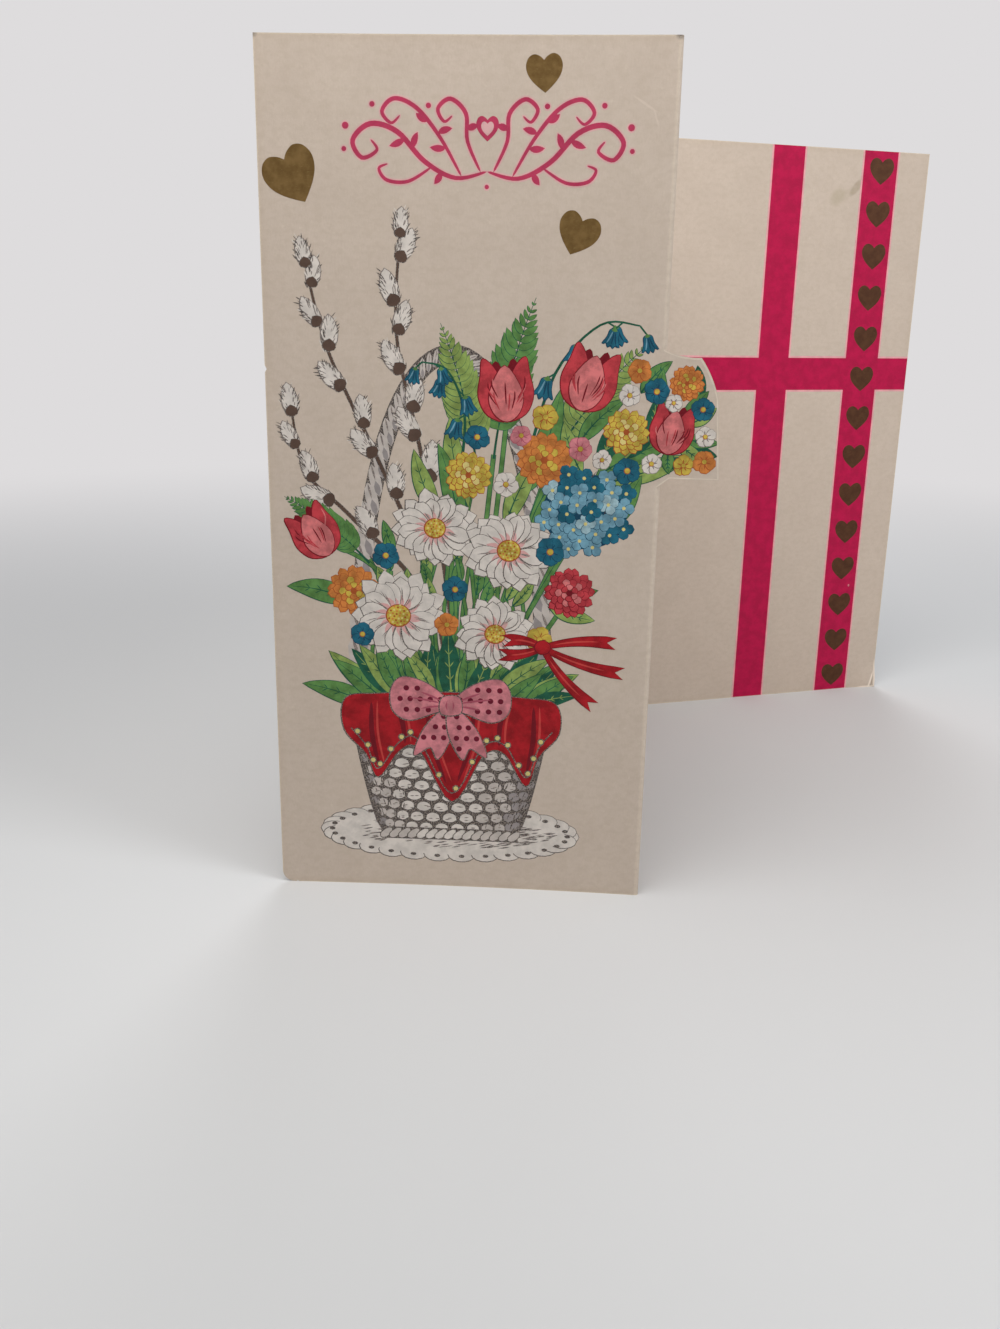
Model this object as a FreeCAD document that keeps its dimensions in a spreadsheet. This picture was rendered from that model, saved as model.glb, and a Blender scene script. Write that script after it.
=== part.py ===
"""A tall greeting card: one sheet, die-cut and folded twice into a standing Z.

Millimetres, +Z up. Seen from above, the sheet starts at the cover's free edge on the left, runs to
the first fold at the cover's right edge, turns back along the middle panel to the second fold, and
runs to the right along the page. The printed face is on the right of that path all the way. The card
stands on its bottom edges, and the origin is the middle of the bottom of its bounding box.
"""
import FreeCAD, Part
import math
import os

import Sketcher

V = FreeCAD.Vector

# Each driving size: its name, its value in mm or degrees, and what it is.
SIZES = (
    ("board_thickness", 0.4, "thickness of the card board"),
    ("card_height", 203.0, "height of the sheet"),
    ("cover_width", 93.2, "cover, flat, from its free edge to the first crease"),
    ("middle_width", 149.0, "middle panel, flat, from crease to crease"),
    ("page_width", 139.3, "page, flat, from the second crease to its free edge"),
    ("crease_radius", 0.4, "inner radius of both folds"),
    ("first_opening", 78.3, "angle between the cover and the middle panel"),
    ("second_opening", 101.2, "angle between the middle panel and the page"),
    ("bow_radius", 1090.0, "radius of the slight bow in the cover"),
    ("corner_radius", 3.2, "the one rounded corner, at the foot of the cover's free edge"),
    ("tab_foot", 108.4, "height of the die-cut tab's level lower edge above the card's foot"),
    ("tab_reach", 13.9, "how far the tab stands out past the middle of the first crease"),
    ("tab_drop", 2.2, "fall of the tab's lower edge from there to the crease"),
    ("tab_toe", 2.3, "reach of the tab at which its lower edge becomes level"),
    ("tab_side", 18.5, "height of the tab's straight side"),
    ("tab_lean", 1.3, "how far the top of that side leans back"),
    ("tab_round_rise", 9.3, "height of the rounding above the side"),
    ("tab_round_run", 4.4, "width of the rounding"),
    ("tab_round_turn", 22.0, "angle that the rounding turns through"),
    ("tab_neck_rise", 1.8, "rise of the tab's upper edge from its rounding to the crease"),
    ("tab_neck_turn", 31.0, "angle that the dip in that edge turns through"),
)

START, END, CENTRE = 1, 2, 3
ORIGIN, Y_AXIS = -1, -2
UP = math.pi / 2


def make_sheet(doc):
    """The spreadsheet of driving sizes, one alias for each."""
    sheet = doc.addObject("Spreadsheet::Sheet", "sizes")
    for row, (name, value, meaning) in enumerate(SIZES, start=1):
        sheet.set("A%d" % row, meaning)
        sheet.set("B%d" % row, str(value))
        sheet.setAlias("B%d" % row, name)
    doc.recompute()
    return sheet


def new_sketch(body, name, role):
    """A sketch attached to one of the body's own origin planes."""
    sketch = body.newObject("Sketcher::SketchObject", name)
    support = next(f for f in body.Origin.OriginFeatures if f.Role == role)
    sketch.AttachmentSupport = [(support, "")]
    sketch.MapMode = "FlatFace"
    return sketch


def bind(sketch, kind, items, name, value, expression):
    """Add one named dimension to the sketch and tie it to the spreadsheet."""
    index = sketch.addConstraint(Sketcher.Constraint(kind, *items, value))
    sketch.renameConstraint(index, name)
    sketch.setExpression("Constraints." + name, expression)


def polar(centre, radius, angle):
    return centre + V(radius * math.cos(angle), radius * math.sin(angle), 0)


def arc(centre, radius, start, end):
    return Part.ArcOfCircle(Part.Circle(centre, V(0, 0, 1), radius), start, end)


def line(start, along):
    return Part.LineSegment(start, start + along)


def crease_allowance(sheet, turn):
    """Length of board that half of a fold takes up, on the middle of its thickness."""
    return turn / 2 * (sheet.crease_radius + sheet.board_thickness / 2)


ALLOWANCE = "(180 - sizes.%s_opening) * pi / 360 * (sizes.crease_radius + sizes.board_thickness / 2)"


def draw_folds(body, sheet):
    """The sheet seen from above: a closed outline one board thick.

    Each stretch of the path has a printed face and a back face. The first fold turns left, so its
    printed face is the outer one. The second turns right, so its printed face is the inner one.
    """
    board = sheet.board_thickness
    bow_radius = sheet.bow_radius
    inner = sheet.crease_radius
    outer = inner + board
    turn_1 = math.radians(180 - sheet.first_opening)
    turn_2 = math.radians(180 - sheet.second_opening)
    heading = turn_1 - turn_2
    loss_1 = crease_allowance(sheet, turn_1)
    loss_2 = crease_allowance(sheet, turn_2)
    middle_flat = sheet.middle_width - loss_1 - loss_2
    page_flat = sheet.page_width - loss_2
    span = (sheet.cover_width - loss_1) / bow_radius

    zero = V(0, 0, 0)
    bow_centre = V(0, -bow_radius, 0)
    along_middle = polar(zero, middle_flat, turn_1)
    along_page = polar(zero, page_flat, heading)
    centre_1 = V(0, outer, 0)
    centre_2 = centre_1 + along_middle + polar(zero, outer + inner, turn_1 - UP)

    sketch = new_sketch(body, "fold_outline", "XY_Plane")
    for bow_r, bend_1_r, bend_2_r in (
        (bow_radius, outer, inner),
        (bow_radius + board, inner, outer),
    ):
        sketch.addGeometry(arc(bow_centre, bow_r, UP, UP + span), False)
        sketch.addGeometry(arc(centre_1, bend_1_r, -UP, turn_1 - UP), False)
        sketch.addGeometry(line(polar(centre_1, bend_1_r, turn_1 - UP), along_middle), False)
        sketch.addGeometry(arc(centre_2, bend_2_r, heading + UP, turn_1 + UP), False)
        sketch.addGeometry(line(polar(centre_2, bend_2_r, heading + UP), along_page), False)
    across_cover = polar(zero, board, UP + span)
    across_page = polar(zero, board, heading + UP)
    cover_end = polar(bow_centre, bow_radius, UP + span)
    page_end = polar(centre_2, inner, heading + UP) + along_page
    sketch.addGeometry(line(cover_end, across_cover), False)
    sketch.addGeometry(line(page_end, across_page), False)

    bow, bend_1, middle, bend_2, page = range(5)
    back = 5
    cover_edge, page_edge = 10, 11
    add = sketch.addConstraint
    for side in (0, back):
        add(Sketcher.Constraint("Tangent", side + bow, START, side + bend_1, START))
        add(Sketcher.Constraint("Tangent", side + bend_1, END, side + middle, START))
        add(Sketcher.Constraint("Tangent", side + middle, END, side + bend_2, END))
        add(Sketcher.Constraint("Tangent", side + bend_2, START, side + page, START))
    for item in (bow, bend_1, bend_2):
        add(Sketcher.Constraint("Coincident", item, CENTRE, back + item, CENTRE))
    for item in (middle, page):
        add(Sketcher.Constraint("Parallel", item, back + item))
    for edge, item in ((cover_edge, bow), (page_edge, page)):
        add(Sketcher.Constraint("Coincident", edge, START, item, END))
        add(Sketcher.Constraint("Coincident", edge, END, back + item, END))
    add(Sketcher.Constraint("PointOnObject", bow, CENTRE, cover_edge))
    add(Sketcher.Constraint("Perpendicular", page_edge, page))
    add(Sketcher.Constraint("Coincident", bow, START, ORIGIN, START))
    add(Sketcher.Constraint("PointOnObject", bend_1, CENTRE, Y_AXIS))

    lost_1 = ALLOWANCE % "first"
    lost_2 = ALLOWANCE % "second"
    outer_rule = "sizes.crease_radius + sizes.board_thickness"
    span_rule = "(sizes.cover_width - %s) / sizes.bow_radius * 180 / pi" % lost_1
    middle_rule = "sizes.middle_width - %s - %s" % (lost_1, lost_2)
    page_rule = "sizes.page_width - %s" % lost_2
    heading_rule = "sizes.second_opening - sizes.first_opening"
    bind(sketch, "Radius", (bow,), "bow_radius", bow_radius, "sizes.bow_radius")
    bind(sketch, "Angle", (bow,), "cover_span", span, span_rule)
    bind(sketch, "Radius", (back + bend_1,), "first_inner", inner, "sizes.crease_radius")
    bind(sketch, "Radius", (bend_1,), "first_outer", outer, outer_rule)
    bind(sketch, "Radius", (bend_2,), "second_inner", inner, "sizes.crease_radius")
    bind(sketch, "Distance", (middle,), "middle_flat", middle_flat, middle_rule)
    bind(sketch, "Distance", (page,), "page_flat", page_flat, page_rule)
    x_axis = (ORIGIN, START)
    bind(sketch, "Angle", x_axis + (middle, START), "turn", turn_1, "180 - sizes.first_opening")
    bind(sketch, "Angle", x_axis + (page, START), "heading", heading, heading_rule)
    return sketch


def through_ends(first, last, turn):
    """An arc that runs anticlockwise from one point to the other and turns through an angle."""
    run = last - first
    radius = run.Length / 2 / math.sin(turn / 2)
    rise = radius * math.cos(turn / 2)
    centre = (first + last) / 2 + V(-run.y, run.x, 0).normalize() * rise
    away = first - centre
    start = math.atan2(away.y, away.x)
    return arc(centre, radius, start, start + turn)


def draw_tab_outline(body, sheet, name, share):
    """The tab's outline, with the end of the bend on the sketch's vertical axis.

    Reaches are measured from the middle of the crease, which lies half a bend outside the flat tab
    (share +1) and half a bend inside the window that the tab leaves in the middle panel (share -1).
    """
    bend = share * crease_allowance(sheet, math.radians(180 - sheet.first_opening))
    heel_x = sheet.tab_reach + bend
    heel_y = sheet.tab_foot
    low = V(0, heel_y - sheet.tab_drop, 0)
    toe = V(sheet.tab_toe + bend, heel_y, 0)
    heel = V(heel_x, heel_y, 0)
    shoulder = heel + V(-sheet.tab_lean, sheet.tab_side, 0)
    crown = shoulder + V(-sheet.tab_round_run, sheet.tab_round_rise, 0)
    high = V(0, crown.y + sheet.tab_neck_rise, 0)
    round_turn = math.radians(sheet.tab_round_turn)
    neck_turn = math.radians(sheet.tab_neck_turn)

    sketch = new_sketch(body, name, "XZ_Plane")
    sketch.addGeometry(Part.LineSegment(low, toe), False)
    sketch.addGeometry(Part.LineSegment(toe, heel), False)
    sketch.addGeometry(Part.LineSegment(heel, shoulder), False)
    sketch.addGeometry(through_ends(shoulder, crown, round_turn), False)
    sketch.addGeometry(through_ends(high, crown, neck_turn), False)
    sketch.addGeometry(Part.LineSegment(high, low), False)
    ramp, foot, side, rounding, neck, root = range(6)
    add = sketch.addConstraint
    add(Sketcher.Constraint("Coincident", ramp, END, foot, START))
    add(Sketcher.Constraint("Coincident", foot, END, side, START))
    add(Sketcher.Constraint("Coincident", side, END, rounding, START))
    add(Sketcher.Constraint("Coincident", rounding, END, neck, END))
    add(Sketcher.Constraint("Coincident", neck, START, root, START))
    add(Sketcher.Constraint("Coincident", root, END, ramp, START))
    add(Sketcher.Constraint("PointOnObject", root, START, Y_AXIS))
    add(Sketcher.Constraint("PointOnObject", root, END, Y_AXIS))
    add(Sketcher.Constraint("Horizontal", foot))

    origin = (ORIGIN, START)
    half_bend = "%d * %s" % (share, ALLOWANCE % "first")
    toe_rule = "sizes.tab_toe + " + half_bend
    reach_rule = "sizes.tab_reach + " + half_bend
    bind(sketch, "DistanceX", origin + (ramp, END), "toe", toe.x, toe_rule)
    bind(sketch, "DistanceX", origin + (foot, END), "reach", heel_x, reach_rule)
    bind(sketch, "DistanceY", origin + (foot, END), "foot", heel_y, "sizes.tab_foot")
    for kind, items, name in (
        ("DistanceY", (ramp, START, ramp, END), "drop"),
        ("DistanceY", (side, START, side, END), "side"),
        ("DistanceX", (side, END, side, START), "lean"),
        ("DistanceY", (rounding, START, rounding, END), "round_rise"),
        ("DistanceX", (rounding, END, rounding, START), "round_run"),
        ("DistanceY", (rounding, END, root, START), "neck_rise"),
    ):
        bind(sketch, kind, items, name, getattr(sheet, "tab_" + name), "sizes.tab_" + name)
    bind(sketch, "Angle", (rounding,), "round_turn", round_turn, "sizes.tab_round_turn")
    bind(sketch, "Angle", (neck,), "neck_turn", neck_turn, "sizes.tab_neck_turn")
    return sketch


def draw_bend_relief(body, sheet):
    """The stretch of the first fold that the tab replaces, seen from the front."""
    width = sheet.crease_radius + sheet.board_thickness
    low = sheet.tab_foot - sheet.tab_drop
    height = sheet.tab_drop + sheet.tab_side + sheet.tab_round_rise + sheet.tab_neck_rise
    corners = (V(0, low, 0), V(width, low, 0), V(width, low + height, 0), V(0, low + height, 0))

    sketch = new_sketch(body, "bend_relief_outline", "XZ_Plane")
    for i, corner in enumerate(corners):
        sketch.addGeometry(Part.LineSegment(corner, corners[(i + 1) % 4]), False)
    bottom, right, top, left = range(4)
    add = sketch.addConstraint
    for item, following in ((bottom, right), (right, top), (top, left), (left, bottom)):
        add(Sketcher.Constraint("Coincident", item, END, following, START))
    for item in (bottom, top):
        add(Sketcher.Constraint("Horizontal", item))
    add(Sketcher.Constraint("Vertical", right))
    add(Sketcher.Constraint("PointOnObject", bottom, START, Y_AXIS))
    add(Sketcher.Constraint("PointOnObject", top, END, Y_AXIS))
    width_rule = "sizes.crease_radius + sizes.board_thickness"
    rises = "sizes.tab_drop + sizes.tab_side + sizes.tab_round_rise + sizes.tab_neck_rise"
    origin = (ORIGIN, START)
    bind(sketch, "DistanceX", (bottom, START, bottom, END), "width", width, width_rule)
    bind(sketch, "DistanceY", origin + (bottom, START), "low", low, "sizes.tab_foot - sizes.tab_drop")
    bind(sketch, "DistanceY", (right, START, right, END), "height", height, rises)
    return sketch


def cut(body, name, outline, depth_rule, side_type):
    """A pocket, which has to take something away."""
    before = body.Shape.Volume
    pocket = body.newObject("PartDesign::Pocket", name)
    pocket.Profile = outline
    pocket.Type = "Length"
    pocket.SideType = side_type
    pocket.setExpression("Length", depth_rule)
    body.Document.recompute()
    if not pocket.Shape.Volume < before:
        raise RuntimeError(name + " cuts nothing")


def foot_corner_edge(shape, height):
    """Name of the short edge through the board at the foot of the cover's free edge."""
    def reach(item):
        return item[1].CenterOfMass.x

    at_foot = [
        (index, edge)
        for index, edge in enumerate(shape.Edges, start=1)
        if edge.BoundBox.ZMax < height / 2 and edge.BoundBox.ZLength < 1e-6
    ]
    index, edge = min(at_foot, key=reach)
    return "Edge%d" % index


def make_card(doc, sheet):
    body = doc.addObject("PartDesign::Body", "folded_card")
    body.Label = "folded_card"

    panels = body.newObject("PartDesign::Pad", "panels")
    panels.Profile = draw_folds(body, sheet)
    panels.setExpression("Length", "sizes.card_height")
    doc.recompute()

    clear_of_bend = "4 * (sizes.crease_radius + sizes.board_thickness)"
    relief = draw_bend_relief(body, sheet)
    cut(body, "bend_relief", relief, "2 * (sizes.crease_radius + sizes.board_thickness)", "One side")

    window = draw_tab_outline(body, sheet, "window_outline", -1)
    turn = FreeCAD.Rotation(V(0, 1, 0), 180 - sheet.first_opening)
    window.AttachmentOffset = FreeCAD.Placement(V(0, 0, 0), turn)
    window.setExpression(
        "AttachmentOffset.Base.z", "-(sizes.crease_radius + sizes.board_thickness)"
    )
    window.setExpression("AttachmentOffset.Rotation.Angle", "180 - sizes.first_opening")
    cut(body, "window", window, clear_of_bend, "Symmetric")

    tab = body.newObject("PartDesign::Pad", "tab")
    tab.Profile = draw_tab_outline(body, sheet, "tab_outline", 1)
    tab.Reversed = True
    tab.setExpression("Length", "sizes.board_thickness")
    doc.recompute()

    corner = body.newObject("PartDesign::Fillet", "rounded_corner")
    corner.Base = (tab, [foot_corner_edge(tab.Shape, sheet.card_height)])
    corner.setExpression("Radius", "sizes.corner_radius")
    body.Tip = corner
    doc.recompute()

    box = body.Shape.BoundBox
    body.Placement.Base = V(-box.Center.x, -box.Center.y, -box.ZMin)
    doc.recompute()
    return body


def check(doc, body):
    """Stop if any feature failed, any sketch is loose, or the card is not one sound solid."""
    for item in doc.Objects:
        if "Invalid" in item.State or "Error" in item.State:
            raise RuntimeError("%s failed: %s" % (item.Name, item.State))
        if item.TypeId == "Sketcher::SketchObject" and not item.FullyConstrained:
            raise RuntimeError(item.Name + " is not fully constrained")
    shape = body.Shape
    if shape.isNull() or not shape.isValid() or len(shape.Solids) != 1:
        raise RuntimeError(body.Label + " is not one valid solid")


def main():
    doc = FreeCAD.newDocument("greeting_card")
    card = make_card(doc, make_sheet(doc))
    check(doc, card)
    os.makedirs("parts", exist_ok=True)
    card.Shape.exportStep("parts/%s.step" % card.Label)
    box = card.Shape.BoundBox
    print(card.Label, "volume %.1f mm3" % card.Shape.Volume)
    print("box", [round(v, 3) for v in (box.XMin, box.XMax, box.YMin, box.YMax, box.ZMin, box.ZMax)])
    print("faces", len(card.Shape.Faces))


main()
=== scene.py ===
"""The looks of a tall folded greeting card: cream board, flat inks, matt gold and pencil work.

Lengths in this file are millimetres until a point is placed, and metres from there on. The card is
one flat sheet. A place on it is (along, up): along runs from the first crease, to the left over the
cover (negative) and to the right over the first fold, the middle panel, the second fold and the page.
"""
import math
import random
from collections import namedtuple

import bpy
from mathutils import Matrix, Vector
from mathutils.geometry import delaunay_2d_cdt


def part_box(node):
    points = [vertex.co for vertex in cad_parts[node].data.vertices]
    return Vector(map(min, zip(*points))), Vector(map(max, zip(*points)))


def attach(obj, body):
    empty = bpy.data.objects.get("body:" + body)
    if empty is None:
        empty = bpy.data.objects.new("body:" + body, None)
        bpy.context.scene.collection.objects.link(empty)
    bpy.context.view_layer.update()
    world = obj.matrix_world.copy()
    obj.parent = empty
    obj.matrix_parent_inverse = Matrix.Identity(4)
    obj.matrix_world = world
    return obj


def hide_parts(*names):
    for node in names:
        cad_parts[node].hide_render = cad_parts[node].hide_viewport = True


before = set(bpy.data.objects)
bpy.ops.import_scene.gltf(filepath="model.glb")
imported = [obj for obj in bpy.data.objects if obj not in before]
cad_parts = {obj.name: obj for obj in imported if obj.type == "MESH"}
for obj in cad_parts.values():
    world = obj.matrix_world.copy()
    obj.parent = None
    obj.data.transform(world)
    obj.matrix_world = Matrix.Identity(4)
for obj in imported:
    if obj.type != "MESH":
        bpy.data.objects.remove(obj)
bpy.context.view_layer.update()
MM = 0.001

# Driving sizes of the sheet, the same as the frame's, in mm and degrees.
BOARD = 0.4
HEIGHT = 203.0
COVER_WIDTH = 93.2
MIDDLE_WIDTH = 149.0
PAGE_WIDTH = 139.3
CREASE_RADIUS = 0.4
FIRST_TURN = math.radians(180 - 78.3)
SECOND_TURN = math.radians(180 - 101.2)
BOW_RADIUS = 1090.0
CORNER_RADIUS = 3.2
TAB_FOOT = 108.4
TAB_REACH = 13.9
TAB_DROP = 2.2
TAB_TOE = 2.3
TAB_SIDE = 18.5
TAB_LEAN = 1.3
TAB_ROUND_RISE = 9.3
TAB_ROUND_RUN = 4.4
TAB_ROUND_TURN = math.radians(22)
TAB_NECK_RISE = 1.8
TAB_NECK_TURN = math.radians(31)
TAB_HEAD = TAB_FOOT + TAB_SIDE + TAB_ROUND_RISE + TAB_NECK_RISE

# Where each stretch of the sheet begins, along the middle of its thickness.
MID_RADIUS = CREASE_RADIUS + BOARD / 2
OUTER_RADIUS = CREASE_RADIUS + BOARD
FIRST_BEND = FIRST_TURN * MID_RADIUS
SECOND_BEND = SECOND_TURN * MID_RADIUS
COVER_EDGE = FIRST_BEND / 2 - COVER_WIDTH
MIDDLE_START = FIRST_BEND
MIDDLE_FLAT = MIDDLE_WIDTH - FIRST_BEND / 2 - SECOND_BEND / 2
SECOND_START = MIDDLE_START + MIDDLE_FLAT
PAGE_START = SECOND_START + SECOND_BEND
PAGE_EDGE = PAGE_START + PAGE_WIDTH - SECOND_BEND / 2
PAGE_HEADING = FIRST_TURN - SECOND_TURN

# What age did to the sheet: its lean, its belly, a dog-eared corner, a nick and a notch.
COVER_LEAN = 0.55
PAGE_BELLY = 0.5
BELLY_AT_FOOT = 0.4
CORNER_BEND = 1.5
CORNER_BEND_REACH = (1.5, 12.5)
NICK_UP = 131.7
NICK = ((0.0, 0.9), (0.45, 0.0), (0.0, -0.7))
NOTCH = ((3.5, 0.0), (3.8, 0.35), (4.3, 0.0))

# The films of ink: how far they stand off the board and go into it, and where they may lie.
INK_LIFT = 0.016
INK_ROOT = -0.02
OFF_REGISTER = Vector((0.05, 0.04))
PRINT_MARGIN = 0.06
MATT_SHINE = 0.16

# The meshes: their grids, their fine stretch at the dog-eared corner, and the unit of the UV map.
GRID = 2.5
PAGE_GRID = 3.0
FINE_GRID = 1.0
FINE_REACH = 15.0
TAB_GRID = 1.2
FOLD_STEPS = 12
LEAST_GAP = 0.45
UV_UNIT = 100.0

# The turn from each place to the next, in radians, that fills a round flower evenly.
GOLDEN_TURN = 2.4


def unit(angle):
    return Vector((math.cos(angle), math.sin(angle)))


def printed_side(heading):
    """The direction that the printed face looks in, where the sheet runs along a heading."""
    return Vector((math.sin(heading), -math.cos(heading)))


def smooth_step(value, low, high):
    share = min(1.0, max(0.0, (value - low) / (high - low)))
    return share * share * (3 - 2 * share)


class SheetPath:
    """Turns a place on the flat sheet into a point of the folded card."""

    def __init__(self):
        lowest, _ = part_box("folded_card")
        low = Vector(lowest[:2]) / MM
        span = -COVER_EDGE / BOW_RADIUS
        start_x = low.x + (BOW_RADIUS + BOARD) * math.sin(span)
        start_y = low.y + BOW_RADIUS * (1 - math.cos(span))
        self.start = Vector((start_x, start_y))
        self.first_centre = self.start + Vector((0, OUTER_RADIUS))
        face = printed_side(FIRST_TURN)
        self.middle_start = self.first_centre + OUTER_RADIUS * face
        middle_end = self.middle_start + MIDDLE_FLAT * unit(FIRST_TURN)
        self.second_centre = middle_end + CREASE_RADIUS * face
        self.page_start = self.second_centre - CREASE_RADIUS * printed_side(PAGE_HEADING)

    def in_plan(self, along, lift, on_tab):
        """A point seen from above, lifted off the printed face."""
        if on_tab and along > 0:
            return self.start + Vector((along, -lift))
        if along <= 0:
            turn = along / BOW_RADIUS
            centre = self.start - Vector((0, BOW_RADIUS))
            return centre + Vector((math.sin(turn), math.cos(turn))) * (BOW_RADIUS - lift)
        if along < MIDDLE_START:
            face = printed_side(along / MID_RADIUS)
            return self.first_centre + (OUTER_RADIUS + lift) * face
        if SECOND_START < along < PAGE_START:
            face = printed_side(FIRST_TURN - (along - SECOND_START) / MID_RADIUS)
            return self.second_centre - (CREASE_RADIUS - lift) * face
        if along <= SECOND_START:
            first, heading, run = self.middle_start, FIRST_TURN, along - MIDDLE_START
        else:
            first, heading, run = self.page_start, PAGE_HEADING, along - PAGE_START
        return first + run * unit(heading) + lift * printed_side(heading)

    def warp(self, along, up):
        """How far age has bent the sheet off its plain folds, towards the printed side."""
        if along < 0:
            reach = along / COVER_EDGE
            return -COVER_LEAN * reach * reach * (up / HEIGHT)
        if along > PAGE_START:
            share = (along - PAGE_START) / (PAGE_EDGE - PAGE_START)
            rising = BELLY_AT_FOOT + (1 - BELLY_AT_FOOT) * up / HEIGHT
            belly = PAGE_BELLY * math.sin(math.pi * share) * rising
            from_corner = math.hypot(PAGE_EDGE - along, 1.1 * up)
            return belly + CORNER_BEND * (1 - smooth_step(from_corner, *CORNER_BEND_REACH))
        return 0.0

    def place(self, along, up, lift=0.0, on_tab=False):
        plan = self.in_plan(along, lift + self.warp(along, up), on_tab)
        return Vector((plan.x, plan.y, up)) * MM


PATH = SheetPath()


def arc_between(first, last, turn, steps):
    """Points of an arc that runs anticlockwise from one point to the other."""
    run = last - first
    radius = run.length / 2 / math.sin(turn / 2)
    aside = Vector((-run.y, run.x)).normalized()
    centre = (first + last) / 2 + aside * radius * math.cos(turn / 2)
    spoke = first - centre
    return [centre + Matrix.Rotation(turn * i / steps, 2) @ spoke for i in range(steps + 1)]


def tab_outline(inset=0.0):
    """The die-cut tab's outline, anticlockwise from its lower root, drawn in by an inset."""
    bend = FIRST_BEND / 2
    heel = Vector((TAB_REACH + bend - inset, TAB_FOOT + inset))
    shoulder = heel + Vector((-TAB_LEAN, TAB_SIDE - inset))
    crown = shoulder + Vector((-TAB_ROUND_RUN, TAB_ROUND_RISE - inset))
    high = Vector((0, TAB_HEAD - inset))
    low = Vector((0, TAB_FOOT - TAB_DROP + inset))
    toe = Vector((TAB_TOE + bend, TAB_FOOT + inset))
    rounding = arc_between(shoulder, crown, TAB_ROUND_TURN, 8)
    neck = arc_between(high, crown, TAB_NECK_TURN, 12)[::-1]
    return [low, toe, heel] + rounding + neck[1:]


def spread(first, last, step):
    """Even places from one value up to another, no further apart than a step."""
    count = max(1, math.ceil(abs(last - first) / step))
    return [first + (last - first) * i / count for i in range(count + 1)]


def area_of(points):
    twice = 0.0
    for here, there in zip(points, points[1:] + points[:1]):
        twice += here[0] * there[1] - there[0] * here[1]
    return twice / 2


def subdivided(points, step):
    """A closed outline with no edge longer than a step."""
    found = []
    for here, there in zip(points, points[1:] + points[:1]):
        here, there = Vector(here), Vector(there)
        count = max(1, math.ceil((there - here).length / step))
        found += [here.lerp(there, i / count) for i in range(count)]
    return found


def triangulate(loops, loose):
    """Triangles of the flat plane that keep every loop's edges, and the loops that hold each one."""
    places = []
    faces = []
    for loop in loops:
        ring = loop if area_of(loop) > 0 else loop[::-1]
        faces.append(list(range(len(places), len(places) + len(ring))))
        places += [Vector(point) for point in ring]
    places += [Vector(point) for point in loose]
    found = delaunay_2d_cdt(places, [], faces, 1, 1e-5, True)
    return found[0], found[2], found[5]


def through(points, closed=False, steps=6):
    """A smooth curve through a few points."""
    points = [Vector(point) for point in points]
    count = len(points)
    found = []
    for i in range(count if closed else count - 1):
        if closed:
            before, here, there, after = (points[(i + k) % count] for k in (-1, 0, 1, 2))
        else:
            before, here, there, after = (points[min(max(i + k, 0), count - 1)] for k in (-1, 0, 1, 2))
        for k in range(steps):
            share = k / steps
            pull = (there - before) * share
            bend = (2 * before - 5 * here + 4 * there - after) * share**2
            close = (3 * here - before - 3 * there + after) * share**3
            found.append((2 * here + pull + bend + close) / 2)
    return found if closed else found + [points[-1]]


def spine(base, angle, length, bend=0.0, steps=8):
    """A curve that leaves its base at an angle and turns evenly through a bend, in degrees."""
    points = [Vector(base)]
    for i in range(steps):
        heading = math.radians(angle + bend * (i + 0.5) / steps)
        points.append(points[-1] + unit(heading) * length / steps)
    return points


def ribbon(path, half_width):
    """The outline of a path whose half width is given for each share of its length."""
    left = []
    right = []
    last = len(path) - 1
    for i, point in enumerate(path):
        ahead = path[min(i + 1, last)] - path[max(i - 1, 0)]
        aside = Vector((-ahead.y, ahead.x)).normalized()
        half = half_width(i / last)
        right.append(point - aside * half)
        if half > 0.01:
            left.append(point + aside * half)
    return right + left[::-1]


def lens(width, belly=1.0, fullness=1.0):
    """Pointed at both ends. A belly over 1 moves the widest place outward."""
    return lambda share: width / 2 * max(0.0, math.sin(math.pi * share**belly)) ** fullness


def brush(width):
    return lens(width, 1.0, 0.55)


def even(width):
    return lambda share: width / 2


def tapering(width, tip=0.2):
    return lambda share: width / 2 * (1 - (1 - tip) * share)


def oval(centre, turn, wide, high):
    """The place on an ellipse at a turn in radians."""
    return Vector(centre) + Vector((math.cos(turn) * wide, math.sin(turn) * high))


def disc(centre, radius, steps=16, flatness=1.0):
    centre = Vector(centre)
    turns = [math.tau * i / steps for i in range(steps)]
    return [centre + Vector((math.cos(turn), math.sin(turn) * flatness)) * radius for turn in turns]


def placed(points, centre, wide, high, angle=0.0):
    """A small unit drawing, scaled, turned by an angle in degrees and put in its place."""
    turn = Matrix.Rotation(math.radians(angle), 2)
    return [Vector(centre) + turn @ Vector((x * wide, y * high)) for x, y in points]


def mirrored(points):
    return [(-x, y) for x, y in points]


def box_outline(left, low, right, high):
    return [(left, low), (right, low), (right, high), (left, high)]


def swollen(outline, amount):
    """The outline moved outward by an amount all round."""
    ring = outline if area_of(outline) > 0 else outline[::-1]
    count = len(ring)
    found = []
    for i in range(count):
        ahead = Vector(ring[(i + 1) % count]) - Vector(ring[i - 1])
        found.append(Vector(ring[i]) + Vector((ahead.y, -ahead.x)).normalized() * amount)
    return found


def holds(outline, point):
    """True if the outline goes round the point."""
    inside = False
    for here, there in zip(outline, outline[1:] + outline[:1]):
        if (here[1] > point[1]) != (there[1] > point[1]):
            cross = here[0] + (point[1] - here[1]) * (there[0] - here[0]) / (there[1] - here[1])
            inside ^= point[0] < cross
    return inside


def linked(name, data):
    """A new object in the scene, of the data given."""
    made = bpy.data.objects.new(name, data)
    bpy.context.scene.collection.objects.link(made)
    return made


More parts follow.
